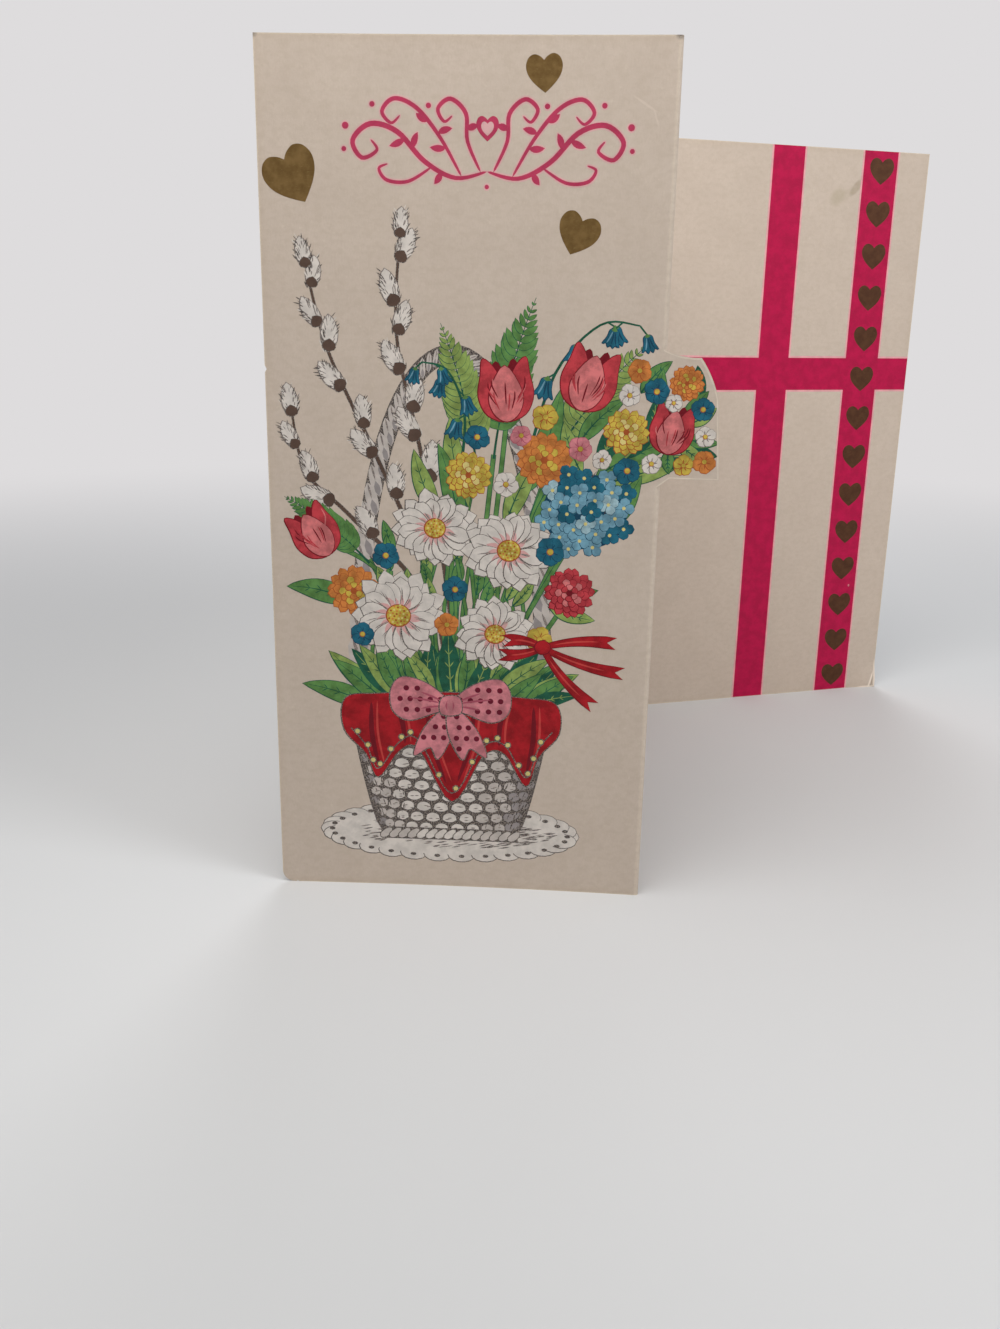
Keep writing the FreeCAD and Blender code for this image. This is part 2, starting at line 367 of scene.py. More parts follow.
def thin_piece(name, triangles, places, lifts, materials, kinds):
    """A closed piece from triangles of the flat sheet, with its place on the sheet as its UV map.

    A triangle's corner is the number of its place, and whether it lies on the tab. The lifts are those
    of the front and the back. The kinds are the material numbers of the front faces, of the back faces
    and of the walls between them.
    """
    order = {}
    for triangle in triangles:
        for corner in triangle:
            order.setdefault(corner, len(order))
    count = len(order)
    faces = []
    rim = {}
    for triangle in triangles:
        corners = [order[corner] for corner in triangle]
        faces.append(tuple(corners))
        for here, there in zip(corners, corners[1:] + corners[:1]):
            if (there, here) in rim:
                del rim[there, here]
            else:
                rim[here, there] = True
    faces += [tuple(corner + count for corner in reversed(face)) for face in faces]
    faces += [(there, here, here + count, there + count) for here, there in rim]
    points = [PATH.place(*places[index], lift, on_tab) for lift in lifts for index, on_tab in order]

    mesh = bpy.data.meshes.new(name)
    mesh.from_pydata(points, [], faces)
    for material in materials:
        mesh.materials.append(material)
    front_kinds, back_kinds, wall_kind = kinds
    mesh.polygons.foreach_set("material_index", front_kinds + back_kinds + [wall_kind] * len(rim))
    layer = mesh.uv_layers.new(name="flat")
    flat_places = [places[index] for index, _ in order] * 2
    for corner in mesh.loops:
        along, up = flat_places[corner.vertex_index]
        layer.uv[corner.index].vector = (along / UV_UNIT, up / UV_UNIT)
    mesh.update()
    piece = linked(name, mesh)
    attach(piece, "root")
    return piece


class Graph:
    """Short calls that build the nodes of a material, or of the world."""

    def __init__(self, name, kind="materials"):
        self.owner = getattr(bpy.data, kind).new(name)
        self.owner.use_nodes = True
        self.tree = self.owner.node_tree
        self.shader = self.tree.nodes.get("Principled BSDF")

    def node(self, kind, inputs=(), **settings):
        made = self.tree.nodes.new("ShaderNode" + kind)
        for key, value in settings.items():
            setattr(made, key, value)
        for key, value in dict(inputs).items():
            self.feed(made.inputs[key], value)
        return made

    def feed(self, socket, value):
        if isinstance(value, bpy.types.NodeSocket):
            self.tree.links.new(value, socket)
        else:
            socket.default_value = value

    def math(self, operation, *values, clamp=False):
        made = self.node("Math", operation=operation, use_clamp=clamp)
        for socket, value in zip(made.inputs, values):
            self.feed(socket, value)
        return made.outputs[0]

    def plus(self, first, second):
        return self.math("ADD", first, second)

    def minus(self, first, second):
        return self.math("SUBTRACT", first, second)

    def times(self, first, second):
        return self.math("MULTIPLY", first, second)

    def least(self, first, second):
        return self.math("MINIMUM", first, second)

    def fade(self, value, low, high, to_low=0.0, to_high=1.0):
        """A soft step from to_low at low to to_high at high."""
        made = self.node("MapRange", interpolation_type="SMOOTHSTEP")
        for socket, item in zip(made.inputs, (value, low, high, to_low, to_high)):
            self.feed(socket, item)
        return made.outputs[0]

    def noise(self, vector, scale, detail=2.0, roughness=0.5):
        inputs = {"Vector": vector, "Scale": scale, "Detail": detail, "Roughness": roughness}
        return self.node("TexNoise", inputs).outputs["Fac"]

    def mix(self, share, first, second):
        """The first colour at a share of 0, the second at a share of 1."""
        made = self.node("Mix", data_type="RGBA")
        self.feed(made.inputs[0], share)
        for index, colour in ((6, first), (7, second)):
            is_plain = not isinstance(colour, bpy.types.NodeSocket)
            self.feed(made.inputs[index], (*colour, 1.0) if is_plain else colour)
        return made.outputs[2]

    def flat_place(self):
        """The place on the flat sheet, in hundreds of millimetres."""
        return self.node("UVMap", uv_map="flat").outputs[0]

    def stretched(self, vector, scale):
        return self.node("Mapping", {"Vector": vector, "Scale": scale}).outputs[0]

    def length(self, vector):
        return self.node("VectorMath", {0: vector}, operation="LENGTH").outputs["Value"]

    def patch(self, flat, centre, reach, turn, softness):
        """1 within a turned ellipse on the sheet, and 0 past its soft rim."""
        inputs = {
            "Vector": flat,
            "Location": (centre[0] / UV_UNIT, centre[1] / UV_UNIT, 0),
            "Rotation": (0, 0, math.radians(turn)),
            "Scale": (reach[0] / UV_UNIT, reach[1] / UV_UNIT, 1),
        }
        inside = self.node("Mapping", inputs, vector_type="TEXTURE").outputs[0]
        return self.fade(self.length(inside), 1.0, 1.0 + softness, 1.0, 0.0)

    def apart(self, vector):
        """The distance along and up the sheet, in mm."""
        parts = self.node("SeparateXYZ", {"Vector": vector})
        return [self.times(parts.outputs[axis], UV_UNIT) for axis in (0, 1)]


def srgb(red, green, blue):
    """A colour given on a screen's 0 to 255 scale, as a shader takes it."""
    def linear(level):
        share = level / 255
        return share / 12.92 if share <= 0.04045 else ((share + 0.055) / 1.055) ** 2.4

    return (linear(red), linear(green), linear(blue))


PAPER = srgb(201, 185, 170)
PAPER_PALE = srgb(207, 191, 176)
PAPER_TONED = srgb(188, 171, 152)
PAPER_SPECK = srgb(226, 215, 198)
EDGE_TONED = srgb(176, 152, 120)
EDGE_SCUFFED = srgb(228, 214, 190)
FOLD_RUBBED = srgb(226, 212, 192)
CORNER_DARKENED = srgb(112, 103, 96)

Paper = namedtuple("Paper", "colour tooth relief mottle")


def paper_surface(graph, flat):
    """Aged cream board: soft mottling, a crinkled grain and faint specks."""
    mottle = graph.noise(flat, 9.0, 3.0, 0.6)
    cloud = graph.noise(flat, 2.2, 2.0, 0.5)
    fibre = graph.noise(graph.stretched(flat, (1.0, 0.34, 1.0)), 260.0, 3.0, 0.7)
    crinkle = graph.noise(graph.stretched(flat, (0.8, 1.15, 1.0)), 56.0, 4.0, 0.62)
    speck = graph.noise(flat, 75.0, 1.0, 0.4)
    colour = PAPER
    for pattern, low, high, strength, tone in (
        (mottle, 0.2, 0.8, 1.0, PAPER_PALE),
        (cloud, 0.45, 0.8, 0.08, PAPER_TONED),
        (fibre, 0.38, 0.68, 0.22, PAPER_TONED),
        (crinkle, 0.42, 0.64, 0.28, PAPER_TONED),
        (speck, 0.70, 0.76, 0.14, PAPER_SPECK),
    ):
        colour = graph.mix(graph.fade(pattern, low, high, 0.0, strength), colour, tone)
    relief = graph.plus(graph.times(fibre, 0.5), crinkle)
    return Paper(colour, graph.noise(flat, 520.0, 2.0, 0.6), relief, mottle)


def finish_surface(graph, colour, height, depth, roughness):
    """Give the shader its colour, a matt shine and a relief that is as deep as given, in mm."""
    graph.feed(graph.shader.inputs["Base Color"], colour)
    graph.shader.inputs["Roughness"].default_value = roughness
    graph.shader.inputs["Specular IOR Level"].default_value = MATT_SHINE
    bump = graph.node("Bump", {"Height": height, "Strength": 0.35, "Distance": depth * MM})
    graph.feed(graph.shader.inputs["Normal"], bump.outputs[0])
    return graph.owner


def board_material(name, is_printed_side):
    """The sheet's own faces, with the wear of its edges and folds, and darker grey tips at two corners."""
    graph = Graph(name)
    flat = graph.flat_place()
    paper = paper_surface(graph, flat)
    along, up = graph.apart(flat)
    sides = graph.least(graph.minus(along, COVER_EDGE), graph.minus(PAGE_EDGE, along))
    margin = graph.least(sides, graph.least(graph.minus(HEIGHT, up), up))
    ragged = graph.plus(margin, graph.times(paper.tooth, 1.6))
    colour = graph.mix(graph.fade(ragged, 0.9, 3.2, 0.11, 0.0), paper.colour, EDGE_TONED)
    colour = graph.mix(graph.fade(ragged, 0.75, 1.1, 0.7, 0.0), colour, EDGE_SCUFFED)
    above_foot = graph.fade(up, TAB_FOOT - TAB_DROP - 0.6, TAB_FOOT - TAB_DROP)
    above_head = graph.fade(up, TAB_HEAD, TAB_HEAD + 0.6)
    beside_tab = graph.minus(above_foot, above_head)
    for fold, half, strength in ((0.0, 0.75, 0.4), (SECOND_START, 1.0, 0.6)):
        off_fold = graph.math("ABSOLUTE", graph.minus(along, fold))
        crackle = graph.plus(off_fold, graph.times(paper.relief, 0.9))
        rubbed = graph.fade(crackle, half - 0.3, half + 0.5, strength, 0.0)
        if fold == 0.0:
            rubbed = graph.times(rubbed, graph.minus(1.0, beside_tab))
        colour = graph.mix(rubbed, colour, FOLD_RUBBED)
    # Darker grey tips at the cover's two top corners, broken up by the board's tooth.
    for corner in (COVER_EDGE, 0.0):
        tip = graph.patch(flat, (corner, HEIGHT), (0.2, 0.2), 0, 5.5)
        darkened = graph.times(tip, graph.fade(paper.tooth, 0.3, 0.55, 0.35, 0.8))
        colour = graph.mix(darkened, colour, CORNER_DARKENED)
    if is_printed_side:
        colour = add_marks(graph, flat, colour, paper.mottle)
    return finish_surface(graph, colour, paper.relief, 0.13, 0.78)


def add_marks(graph, flat, colour, mottle):
    """A thumb smudge near the page's top, pale creases, most of them at its dog-eared corner, and a dark
    line beside one of them.
    """
    for centre, reach, turn, softness, strength, tone in (
        ((PAGE_EDGE - 29.6, 190.3), (0.9, 2.3), -38, 0.9, 0.55, srgb(146, 130, 104)),
        ((PAGE_EDGE - 36.9, 186.9), (1.5, 2.0), -50, 1.3, 0.32, srgb(164, 152, 122)),
        ((PAGE_EDGE - 32.9, 188.0), (0.8, 3.0), -62, 1.3, 0.18, srgb(162, 150, 122)),
    ):
        blotch = graph.fade(mottle, 0.3, 0.6, 0.5 * strength, strength)
        smudge = graph.times(graph.patch(flat, centre, reach, turn, softness), blotch)
        colour = graph.mix(smudge, colour, tone)
    pale = srgb(240, 225, 211)
    for centre, reach, turn, strength, tone in (
        ((PAGE_EDGE - 2.2, 2.3), (0.24, 2.7), -18, 0.9, pale),
        # A dark line beside the crease at the corner.
        ((PAGE_EDGE - 1.5, 1.5), (0.12, 1.7), -8, 0.6, srgb(128, 108, 92)),
        ((PAGE_EDGE - 0.3, 4.4), (0.22, 4.0), 0, 0.8, pale),
        ((PAGE_EDGE - 3.6, 0.3), (2.4, 0.22), 0, 0.8, pale),
        ((COVER_EDGE + 85.9, 189.4), (0.16, 2.0), 58, 0.2, pale),
        ((COVER_EDGE + 88.4, 186.6), (0.14, 1.2), 20, 0.16, pale),
    ):
        crease = graph.patch(flat, centre, reach, turn, 1.0)
        colour = graph.mix(graph.times(crease, strength), colour, tone)
    return colour


def cut_edge_material():
    """The paler core of the board, where it is cut."""
    graph = Graph("cut_edge")
    ply = graph.noise(graph.flat_place(), 300.0, 2.0, 0.6)
    colour = graph.mix(graph.fade(ply, 0.35, 0.7), srgb(232, 220, 200), srgb(212, 196, 172))
    return finish_surface(graph, colour, ply, 0.05, 0.85)


def ink_material(name, colour, cover=1.0, tooth_bite=0.09, shade=0.06):
    """Printing ink, uneven by its shade. The board's tooth shows through it as fine pale specks."""
    graph = Graph(name)
    flat = graph.flat_place()
    paper = paper_surface(graph, flat)
    darker = tuple(level * (1 - 2.5 * shade) for level in colour)
    lighter = tuple(min(1.0, level * (1 + shade)) for level in colour)
    pooled = graph.fade(graph.noise(flat, 26.0, 4.0, 0.65), 0.34, 0.66)
    ink = graph.mix(pooled, darker, lighter)
    bare = graph.fade(paper.tooth, 0.56, 0.78, 0.0, tooth_bite)
    share = graph.math("SUBTRACT", cover, bare, clamp=True)
    return finish_surface(graph, graph.mix(share, paper.colour, ink), paper.relief, 0.06, 0.62)


def pencil_material(name, colour, cover):
    """Dry crayon or pencil, which takes only on the raised tooth of the board."""
    graph = Graph(name)
    flat = graph.flat_place()
    paper = paper_surface(graph, flat)
    grain = graph.noise(flat, 340.0, 2.0, 0.6)
    share = graph.fade(grain, 0.34, 0.58, 0.45 * cover, cover)
    return finish_surface(graph, graph.mix(share, paper.colour, colour), paper.relief, 0.06, 0.8)


def gold_material(name, dark, pale, scratched):
    """Matt antique gold: bronze ink with a low shine, rubbed and finely scratched."""
    graph = Graph(name)
    flat = graph.flat_place()
    patch = graph.noise(flat, 38.0, 4.0, 0.62)
    colour = graph.mix(graph.fade(patch, 0.3, 0.72), dark, pale)
    scratch = graph.noise(graph.stretched(flat, (1.0, 9.0, 1.0)), 60.0, 2.0, 0.7)
    colour = graph.mix(graph.fade(scratch, 0.64, 0.72, 0.0, 0.5), colour, scratched)
    graph.shader.inputs["Metallic"].default_value = 0.35
    return finish_surface(graph, colour, patch, 0.04, 0.5)


def sheet_outline(columns, rows):
    """The flat sheet's outline: a rounded corner with a notch near it, and a nick in the free edge."""
    corner = Vector((COVER_EDGE + CORNER_RADIUS, CORNER_RADIUS))
    outline = [corner + CORNER_RADIUS * unit(math.pi + math.pi / 2 * i / 8) for i in range(9)]
    outline += [(COVER_EDGE + across, up) for across, up in NOTCH]
    outline += [(along, 0.0) for along in columns if along > COVER_EDGE + 5]
    outline += [(PAGE_EDGE, up) for up in rows[1:-1]]
    outline += [(along, HEIGHT) for along in reversed(columns)]
    left_side = [up for up in reversed(rows[:-1]) if up > CORNER_RADIUS + 1]
    outline += [(COVER_EDGE, up) for up in left_side if up > NICK_UP + 1.5]
    outline += [(COVER_EDGE + across, NICK_UP + above) for across, above in NICK]
    return outline + [(COVER_EDGE, up) for up in left_side if up < NICK_UP - 1.2]


def keeps_clear(along, up, tab):
    """True if a grid point isn't so near an outline that it would make a sliver of a triangle."""
    if along <= COVER_EDGE or along >= PAGE_EDGE or up <= 0 or up >= HEIGHT:
        return False
    if along < COVER_EDGE + CORNER_RADIUS + 1 and up < CORNER_RADIUS + 1:
        return False
    if abs(up - NICK_UP) < 2 and along < COVER_EDGE + 1:
        return False
    near_tab = -1 < along < TAB_REACH + 2 and TAB_FOOT - TAB_DROP - 1 < up < TAB_HEAD + 1
    if not near_tab or FIRST_BEND * 0.99 > along > 0.01:
        return True
    return min((Vector((along, up)) - point).length for point in tab) > LEAST_GAP


def build_sheet():
    """The whole sheet: one closed mesh, cut round the tab, folded and slightly warped by age."""
    columns = spread(COVER_EDGE, 0.0, GRID)
    for first, last, step in (
        (0.0, MIDDLE_START, FIRST_BEND / FOLD_STEPS),
        (MIDDLE_START, SECOND_START, GRID),
        (SECOND_START, PAGE_START, SECOND_BEND / FOLD_STEPS),
        (PAGE_START, PAGE_EDGE - FINE_REACH, GRID),
        (PAGE_EDGE - FINE_REACH, PAGE_EDGE, FINE_GRID),
    ):
        columns += spread(first, last, step)[1:]
    rows = spread(0.0, FINE_REACH, FINE_GRID) + spread(FINE_REACH, HEIGHT, GRID)[1:]
    tab = subdivided(tab_outline(), TAB_GRID)
    loose = [(along, up) for along in columns for up in rows if keeps_clear(along, up, tab)]
    places, triangles, owners = triangulate([sheet_outline(columns, rows), tab], loose)
    keyed = []
    for triangle, owner in zip(triangles, owners):
        if 0 in owner:
            on_tab = 1 in owner
            keyed.append([(i, on_tab and places[i].x > 1e-4) for i in triangle])
    materials = [board_material("cream_board", True), board_material("cream_back", False)]
    materials.append(cut_edge_material())
    kinds = ([0] * len(keyed), [1] * len(keyed), 2)
    sheet = thin_piece("card_sheet", keyed, places, (0.0, -BOARD), materials, kinds)
    sheet.data.shade_smooth()
    sheet.data.set_sharp_from_angle(angle=math.radians(40))
    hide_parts("folded_card")


class Print:
    """A printed picture: fields of ink in painting order, later ones over earlier ones."""

    def __init__(self, inks, origin, trims, on_tab):
        self.inks = inks
        self.origin = origin
        self.trims = trims
        self.on_tab = on_tab
        self.piece = None
        self.fields = []

    def add(self, ink, outline):
        """Lay a field of ink on the piece in hand. Its outline starts from the print's own origin."""
        shifted = [Vector((point[0] + self.origin, point[1])) for point in outline]
        self.fields.append((self.piece, self.inks[ink], shifted))

    def line(self, ink, path, shape):
        self.add(ink, ribbon(path, shape))

    def outlined(self, ink, outline, line_ink, weight):
        """A field with a drawn line round it, printed a little out of register."""
        self.add(line_ink, swollen(outline, weight))
        self.add(ink, [Vector(point) + OFF_REGISTER for point in outline])

    def petal(self, ink, base, angle, length, shape, line_ink, weight, bend=0.0, steps=6):
        """An outlined petal or leaf that grows from its base at an angle. Returns its middle line."""
        path = spine(base, angle, length, bend, steps)
        self.outlined(ink, ribbon(path, shape), line_ink, weight)
        return path

    def stroke(self, ink, start, angle, length, width, bend=0.0, steps=3):
        """A short stroke of the brush or the pencil."""
        self.line(ink, spine(start, angle, length, bend, steps), brush(width))

    def build(self, grid):
        """One closed film for each named piece, cut so that no two films overlap."""
        inside = 0.3
        loops = self.trims + [outline for _, _, outline in self.fields]
        loops = [subdivided(loop, grid) for loop in loops]
        columns, rows = (
            spread(min(levels) + inside, max(levels) - inside, grid)
            for levels in zip(*(tuple(point) for loop in self.trims for point in loop))
        )
        loose = [(along, up) for along in columns for up in rows]
        places, triangles, owners = triangulate(loops, loose)
        first_field = len(self.trims)
        by_piece = {}
        for triangle, owner in zip(triangles, owners):
            if owner and min(owner) < first_field <= max(owner):
                piece, ink, _ = self.fields[max(owner) - first_field]
                by_piece.setdefault(piece, []).append(([(i, self.on_tab) for i in triangle], ink))
        for piece, entries in by_piece.items():
            materials = list(dict.fromkeys(ink for _, ink in entries))
            kinds = [materials.index(ink) for _, ink in entries]
            corners = [triangle for triangle, _ in entries]
            thin_piece(piece, corners, places, (INK_LIFT, INK_ROOT), materials, (kinds, kinds, 0))


# Outlines of the small motifs, as unit drawings that placed() sizes and turns.
HEART_HALF = (
    (0.0, 0.34), (0.1, 0.44), (0.26, 0.5), (0.42, 0.42), (0.5, 0.22), (0.46, 0.0), (0.34, -0.19),
    (0.17, -0.36), (0.0, -0.5),
)
BOW_LOOP = (
    (0.0, 0.0), (-0.35, 0.38), (-0.8, 0.52), (-1.0, 0.28), (-0.97, -0.12), (-0.7, -0.3), (-0.3, -0.16),
)
BOW_TAIL = ((0.0, 0.0), (-0.42, -0.42), (-0.62, -0.98), (-0.34, -0.82), (-0.2, -1.04), (0.04, -0.5))
BOW_KNOT = ((-0.14, 0.13), (0.14, 0.15), (0.17, -0.13), (-0.15, -0.15))
BELL = (
    (0.0, 0.0), (-0.26, -0.1), (-0.33, -0.48), (-0.52, -0.88), (-0.3, -0.8), (-0.15, -1.0),
    (0.0, -0.84), (0.15, -1.0), (0.3, -0.8), (0.52, -0.88), (0.33, -0.48), (0.26, -0.1),
)
TULIP_BACK = ((-0.2, 0.2), (-0.3, 0.7), (-0.16, 1.0), (0.0, 0.8), (0.17, 1.03), (0.3, 0.7), (0.2, 0.2))
TULIP_SIDE = (
    (0.0, 0.0), (-0.36, 0.1), (-0.52, 0.42), (-0.46, 0.78), (-0.4, 1.06), (-0.16, 0.84), (-0.02, 0.4),
)
TULIP_FRONT = ((0.0, -0.02), (-0.25, 0.14), (-0.31, 0.48), (0.0, 0.93), (0.31, 0.48), (0.25, 0.14))


def heart_outline(centre, width, height, tilt=0.0):
    """A plump heart with its lobes up, turned anticlockwise by a tilt in degrees."""
    right = through(HEART_HALF, False, 5)
    return placed(right + mirrored(right[-2:0:-1]), centre, width, height, tilt)


def draw_leaf(pen, base, angle, length, width, bend, tone):
    pen.piece = "leaves"
    vein = "lime" if tone == "deep_green" else "deep_green"
    shape = lens(width, 0.85, 0.9)
    path = pen.petal(tone, base, angle, length, shape, "deep_green", 0.2, bend, 12)
    pen.line(vein, path[:-1], tapering(0.45))
    for i in range(2, 10, 2):
        for side in (-38, 38):
            reach = width * 0.36 * math.sin(math.pi * i / 12)
            pen.stroke(vein, path[i], angle + bend * i / 12 + side, reach, 0.24)


def draw_fern(pen, base, angle, length, bend, tone, seed):
    pen.piece = "ferns"
    rng = random.Random(seed)
    steps = 22
    path = spine(base, angle, length, bend, steps)
    pen.line("deep_green", path, tapering(0.6))
    for i in range(4, steps):
        share = i / steps
        reach = length * 0.2 * math.sin(math.pi * min(1.0, 0.25 + share * 0.78)) + 0.6
        shape = lens(reach * 0.36, 0.8, 0.8)
        for side in (-1, 1):
            heading = angle + bend * share + side * rng.uniform(48, 60)
            pen.petal(tone, path[i], heading, reach, shape, "deep_green", 0.1, -side * 24)


def draw_stem(pen, points, width=0.9):
    pen.piece = "stems"
    path = through(points)
    pen.line("deep_green", path, even(width + 0.35))
    pen.line("leaf", path, even(width))


def draw_daisy(pen, centre, radius, seed):
    """Two rings of long white petals with pencil strokes, round a dotted yellow eye."""
    pen.piece = "daisies"
    rng = random.Random(seed)
    centre = Vector(centre)
    flatness = 0.92
    petals = 16
    dots = 34

    def laid(path):
        return [centre + Vector((point.x, point.y * flatness)) for point in path]

    for reach, shift in ((1.0, 0.0), (0.84, 0.5)):
        for i in range(petals):
            angle = 360 * (i + shift) / petals + rng.uniform(-4, 4)
            length = radius * reach * rng.uniform(0.88, 1.04)
            bend = rng.uniform(-16, 16)
            base = unit(math.radians(angle)) * radius * 0.14
            path = laid(spine(base, angle, length - radius * 0.14, bend, 6))
            petal = ribbon(path, lens(radius * 0.35, 1.4, 0.55))
            pen.outlined("petal_white", petal, "pencil", rng.uniform(0.14, 0.26))
            blush = laid(spine(base, angle, length * 0.42, bend, 4))
            pen.line("blush", blush, lens(radius * 0.17, 0.9))
            for _ in range(3):
                start = unit(math.radians(angle + rng.uniform(-7, 7))) * radius * rng.uniform(0.2, 0.42)
                heading = angle + rng.uniform(-6, 6)
                mark = laid(spine(start, heading, length * rng.uniform(0.2, 0.42), bend, 3))
                pen.line("soft_pencil", mark, brush(rng.uniform(0.18, 0.34)))
    pen.outlined("yellow", disc(centre, radius * 0.23, 20, flatness), "deep_orange", 0.3)
    for i in range(dots):
        where = centre + unit(i * GOLDEN_TURN) * radius * 0.22 * math.sqrt((i + 0.5) / dots)
        tone = ("orange", "deep_orange", "pale_yellow")[i % 3]
        pen.add(tone, disc(where, radius * 0.022, 8))


def draw_tulip(pen, base, high, angle, seed):
    pen.piece = "tulips"
    rng = random.Random(seed)
    wide = high * 0.92
    for shape, tone in (
        (TULIP_BACK, "dark_red"),
        (TULIP_SIDE, "rose"),
        (mirrored(TULIP_SIDE), "rose"),
        (TULIP_FRONT, "rose_light"),
    ):
        outline = placed(through(shape, True, 4), base, wide, high, angle)
        pen.outlined(tone, outline, "dark_red", 0.22)
    for i in range(15):
        across = rng.uniform(-0.42, 0.42)
        low = rng.uniform(0.1, 0.35) + abs(across) * 0.3
        mark = [(across * 0.55, low), (across * 0.95, low + 0.2), (across, low + rng.uniform(0.3, 0.42))]
        tone = ("rose_light", "dark_red", "rose")[i % 3]
        path = through(placed(mark, base, wide, high, angle), False, 3)
        pen.line(tone, path, brush(high * 0.028))


def draw_bell(pen, top, size, angle):
    pen.piece = "bellflowers"
    outline = placed(through(BELL, True, 3), top, size, size * 1.1, angle)
    pen.outlined("teal", outline, "deep_teal", 0.18)
    for across, tone in ((-0.16, "sky"), (0.02, "deep_teal"), (0.18, "deep_teal")):
        mark = [(across * 0.5, -0.12), (across, -0.5), (across * 1.7, -0.8)]
        path = through(placed(mark, top, size, size * 1.1, angle), False, 3)
        pen.line(tone, path, brush(size * 0.09))
    cap = placed(((-0.2, -0.08), (0.0, 0.12), (0.2, -0.08), (0.0, -0.16)), top, size, size, angle)
    pen.add("leaf", cap)


def draw_bell_spray(pen, points, bells, size):
    """Bells that hang by turns to both sides of an arched stalk."""
    pen.piece = "bellflowers"
    path = through(points)
    pen.line("deep_green", path, tapering(0.8, 0.45))
    for i in range(bells):
        share = 0.34 + 0.66 * i / (bells - 1)
        where = path[int(share * (len(path) - 1))]
        side = 1 if i % 2 else -1
        tip = where + Vector((side * size * 0.34, -size * (0.2 + 0.1 * (i % 3))))
        pen.line("deep_green", [where, tip], even(0.4))
        draw_bell(pen, tip, size * (1.0 - 0.3 * share), side * 14)


def draw_pompom(pen, centre, radius, tones, seed):
    """A round flower of short petals in rings, each ring over the one outside it."""
    pen.piece = "pompoms"
    rng = random.Random(seed)
    dark, middle, light = tones
    for ring, (reach, petals) in enumerate(((1.0, 15), (0.8, 13), (0.58, 10), (0.34, 6))):
        shape = lens(radius * 0.36 * (0.55 + 0.45 * reach), 1.5, 0.5)
        for i in range(petals):
            angle = 360 * (i + 0.5 * (ring % 2)) / petals + rng.uniform(-5, 5)
            base = Vector(centre) + unit(math.radians(angle)) * radius * reach * 0.3
            tone = light if ring > 1 and i % 2 else middle
            length = radius * reach * 0.7
            pen.petal(tone, base, angle, length, shape, dark, 0.15, rng.uniform(-14, 14))
    pen.add(dark, disc(centre, radius * 0.13, 10))


# The dark, the middle and the light ink of each pompom, and the line ink of each blossom.
ORANGES = ("deep_orange", "orange", "yellow")
YELLOWS = ("deep_orange", "yellow", "pale_yellow")
REDS = ("dark_red", "rose", "rose_light")
THROATS = {
    "teal": "deep_teal",
    "petal_white": "soft_pencil",
    "orange": "deep_orange",
    "yellow": "deep_orange",
    "pink": "deep_pink",
}


def draw_blossom(pen, centre, radius, tone, seed):
    """A small open flower with round petals, a dark throat and a bright eye."""
    pen.piece = "blossoms"
    rng = random.Random(seed)
    petals = 5
    line_ink = THROATS[tone]
    shape = lens(radius * 0.98, 1.5, 0.5)
    turn = rng.uniform(0, 360)
    for i in range(petals):
        angle = turn + 360 * i / petals + rng.uniform(-5, 5)
        length = radius * rng.uniform(0.94, 1.06)
        bend = rng.uniform(-8, 8)
        path = pen.petal(tone, centre, angle, length, shape, line_ink, 0.14, bend)
        pen.stroke(line_ink, path[1], angle, radius * 0.45, 0.28)
    pen.outlined("yellow", disc(centre, radius * 0.2, 10), "deep_orange", 0.14)


def draw_hydrangea(pen, centre, radius, florets, seed):
    """A ball of small four-petalled florets over deep teal gaps."""
    pen.piece = "hydrangea"
    rng = random.Random(seed)
    centre = Vector(centre)
    flatness = 0.9
    size = radius * 0.2
    shape = lens(size * 1.05, 1.3, 0.5)
    pen.add("deep_teal", disc(centre, radius * 0.92, 30, flatness))
    for _ in range(14):
        start = centre + unit(rng.uniform(0, math.tau)) * radius * rng.uniform(0.3, 0.8)
        pen.stroke("pencil", start, rng.uniform(40, 80), radius * 0.4, 0.3, 10, 4)
    for i in reversed(range(florets)):
        turn = i * GOLDEN_TURN
        share = math.sqrt((i + 0.6) / florets)
        where = centre + Vector((math.cos(turn), flatness * math.sin(turn))) * radius * share
        heading = rng.uniform(0, 90)
        tone = ("sky", "pale_sky", "sky", "teal")[rng.randrange(4)]
        for k in range(4):
            angle = heading + 90 * k
            pen.petal(tone, where, angle, size * 1.15, shape, "deep_teal", 0.1, 0, 5)
        pen.add("pale_yellow", disc(where, size * 0.2, 8))


def draw_catkin(pen, root, ahead, side, length, rng):
    """A soft grey bud in a brown scale, leaning off its branch by a side angle in degrees."""
    aside = Vector((-ahead.y, ahead.x)).normalized()
    heading = math.degrees(math.atan2(ahead.y, ahead.x)) + side
    width = length * 0.47
    shape = lens(width, 0.9, 0.62)
    bend = -side * 0.5
    body = pen.petal("petal_white", root, heading, length, shape, "soft_pencil", 0.25, bend, 10)
    for _ in range(58):
        depth = rng.uniform(0.05, 0.93)
        edge = rng.choice((-1, 1)) * rng.random() ** 0.45
        start = body[int(depth * 10)] + aside * shape(depth) * edge
        tone = "pencil" if abs(edge) > 0.62 or edge > 0.35 else "soft_pencil"
        if rng.random() < 0.22:
            tone = "petal_white"
        reach = rng.uniform(0.9, 1.8)
        pen.stroke(tone, start, heading + edge * 38, reach, rng.uniform(0.16, 0.28))
    scale = lens(width * 0.8, 0.8, 0.7)
    pen.petal("bark", root, heading, length * 0.34, scale, "pencil", 0.15, 0, 5)


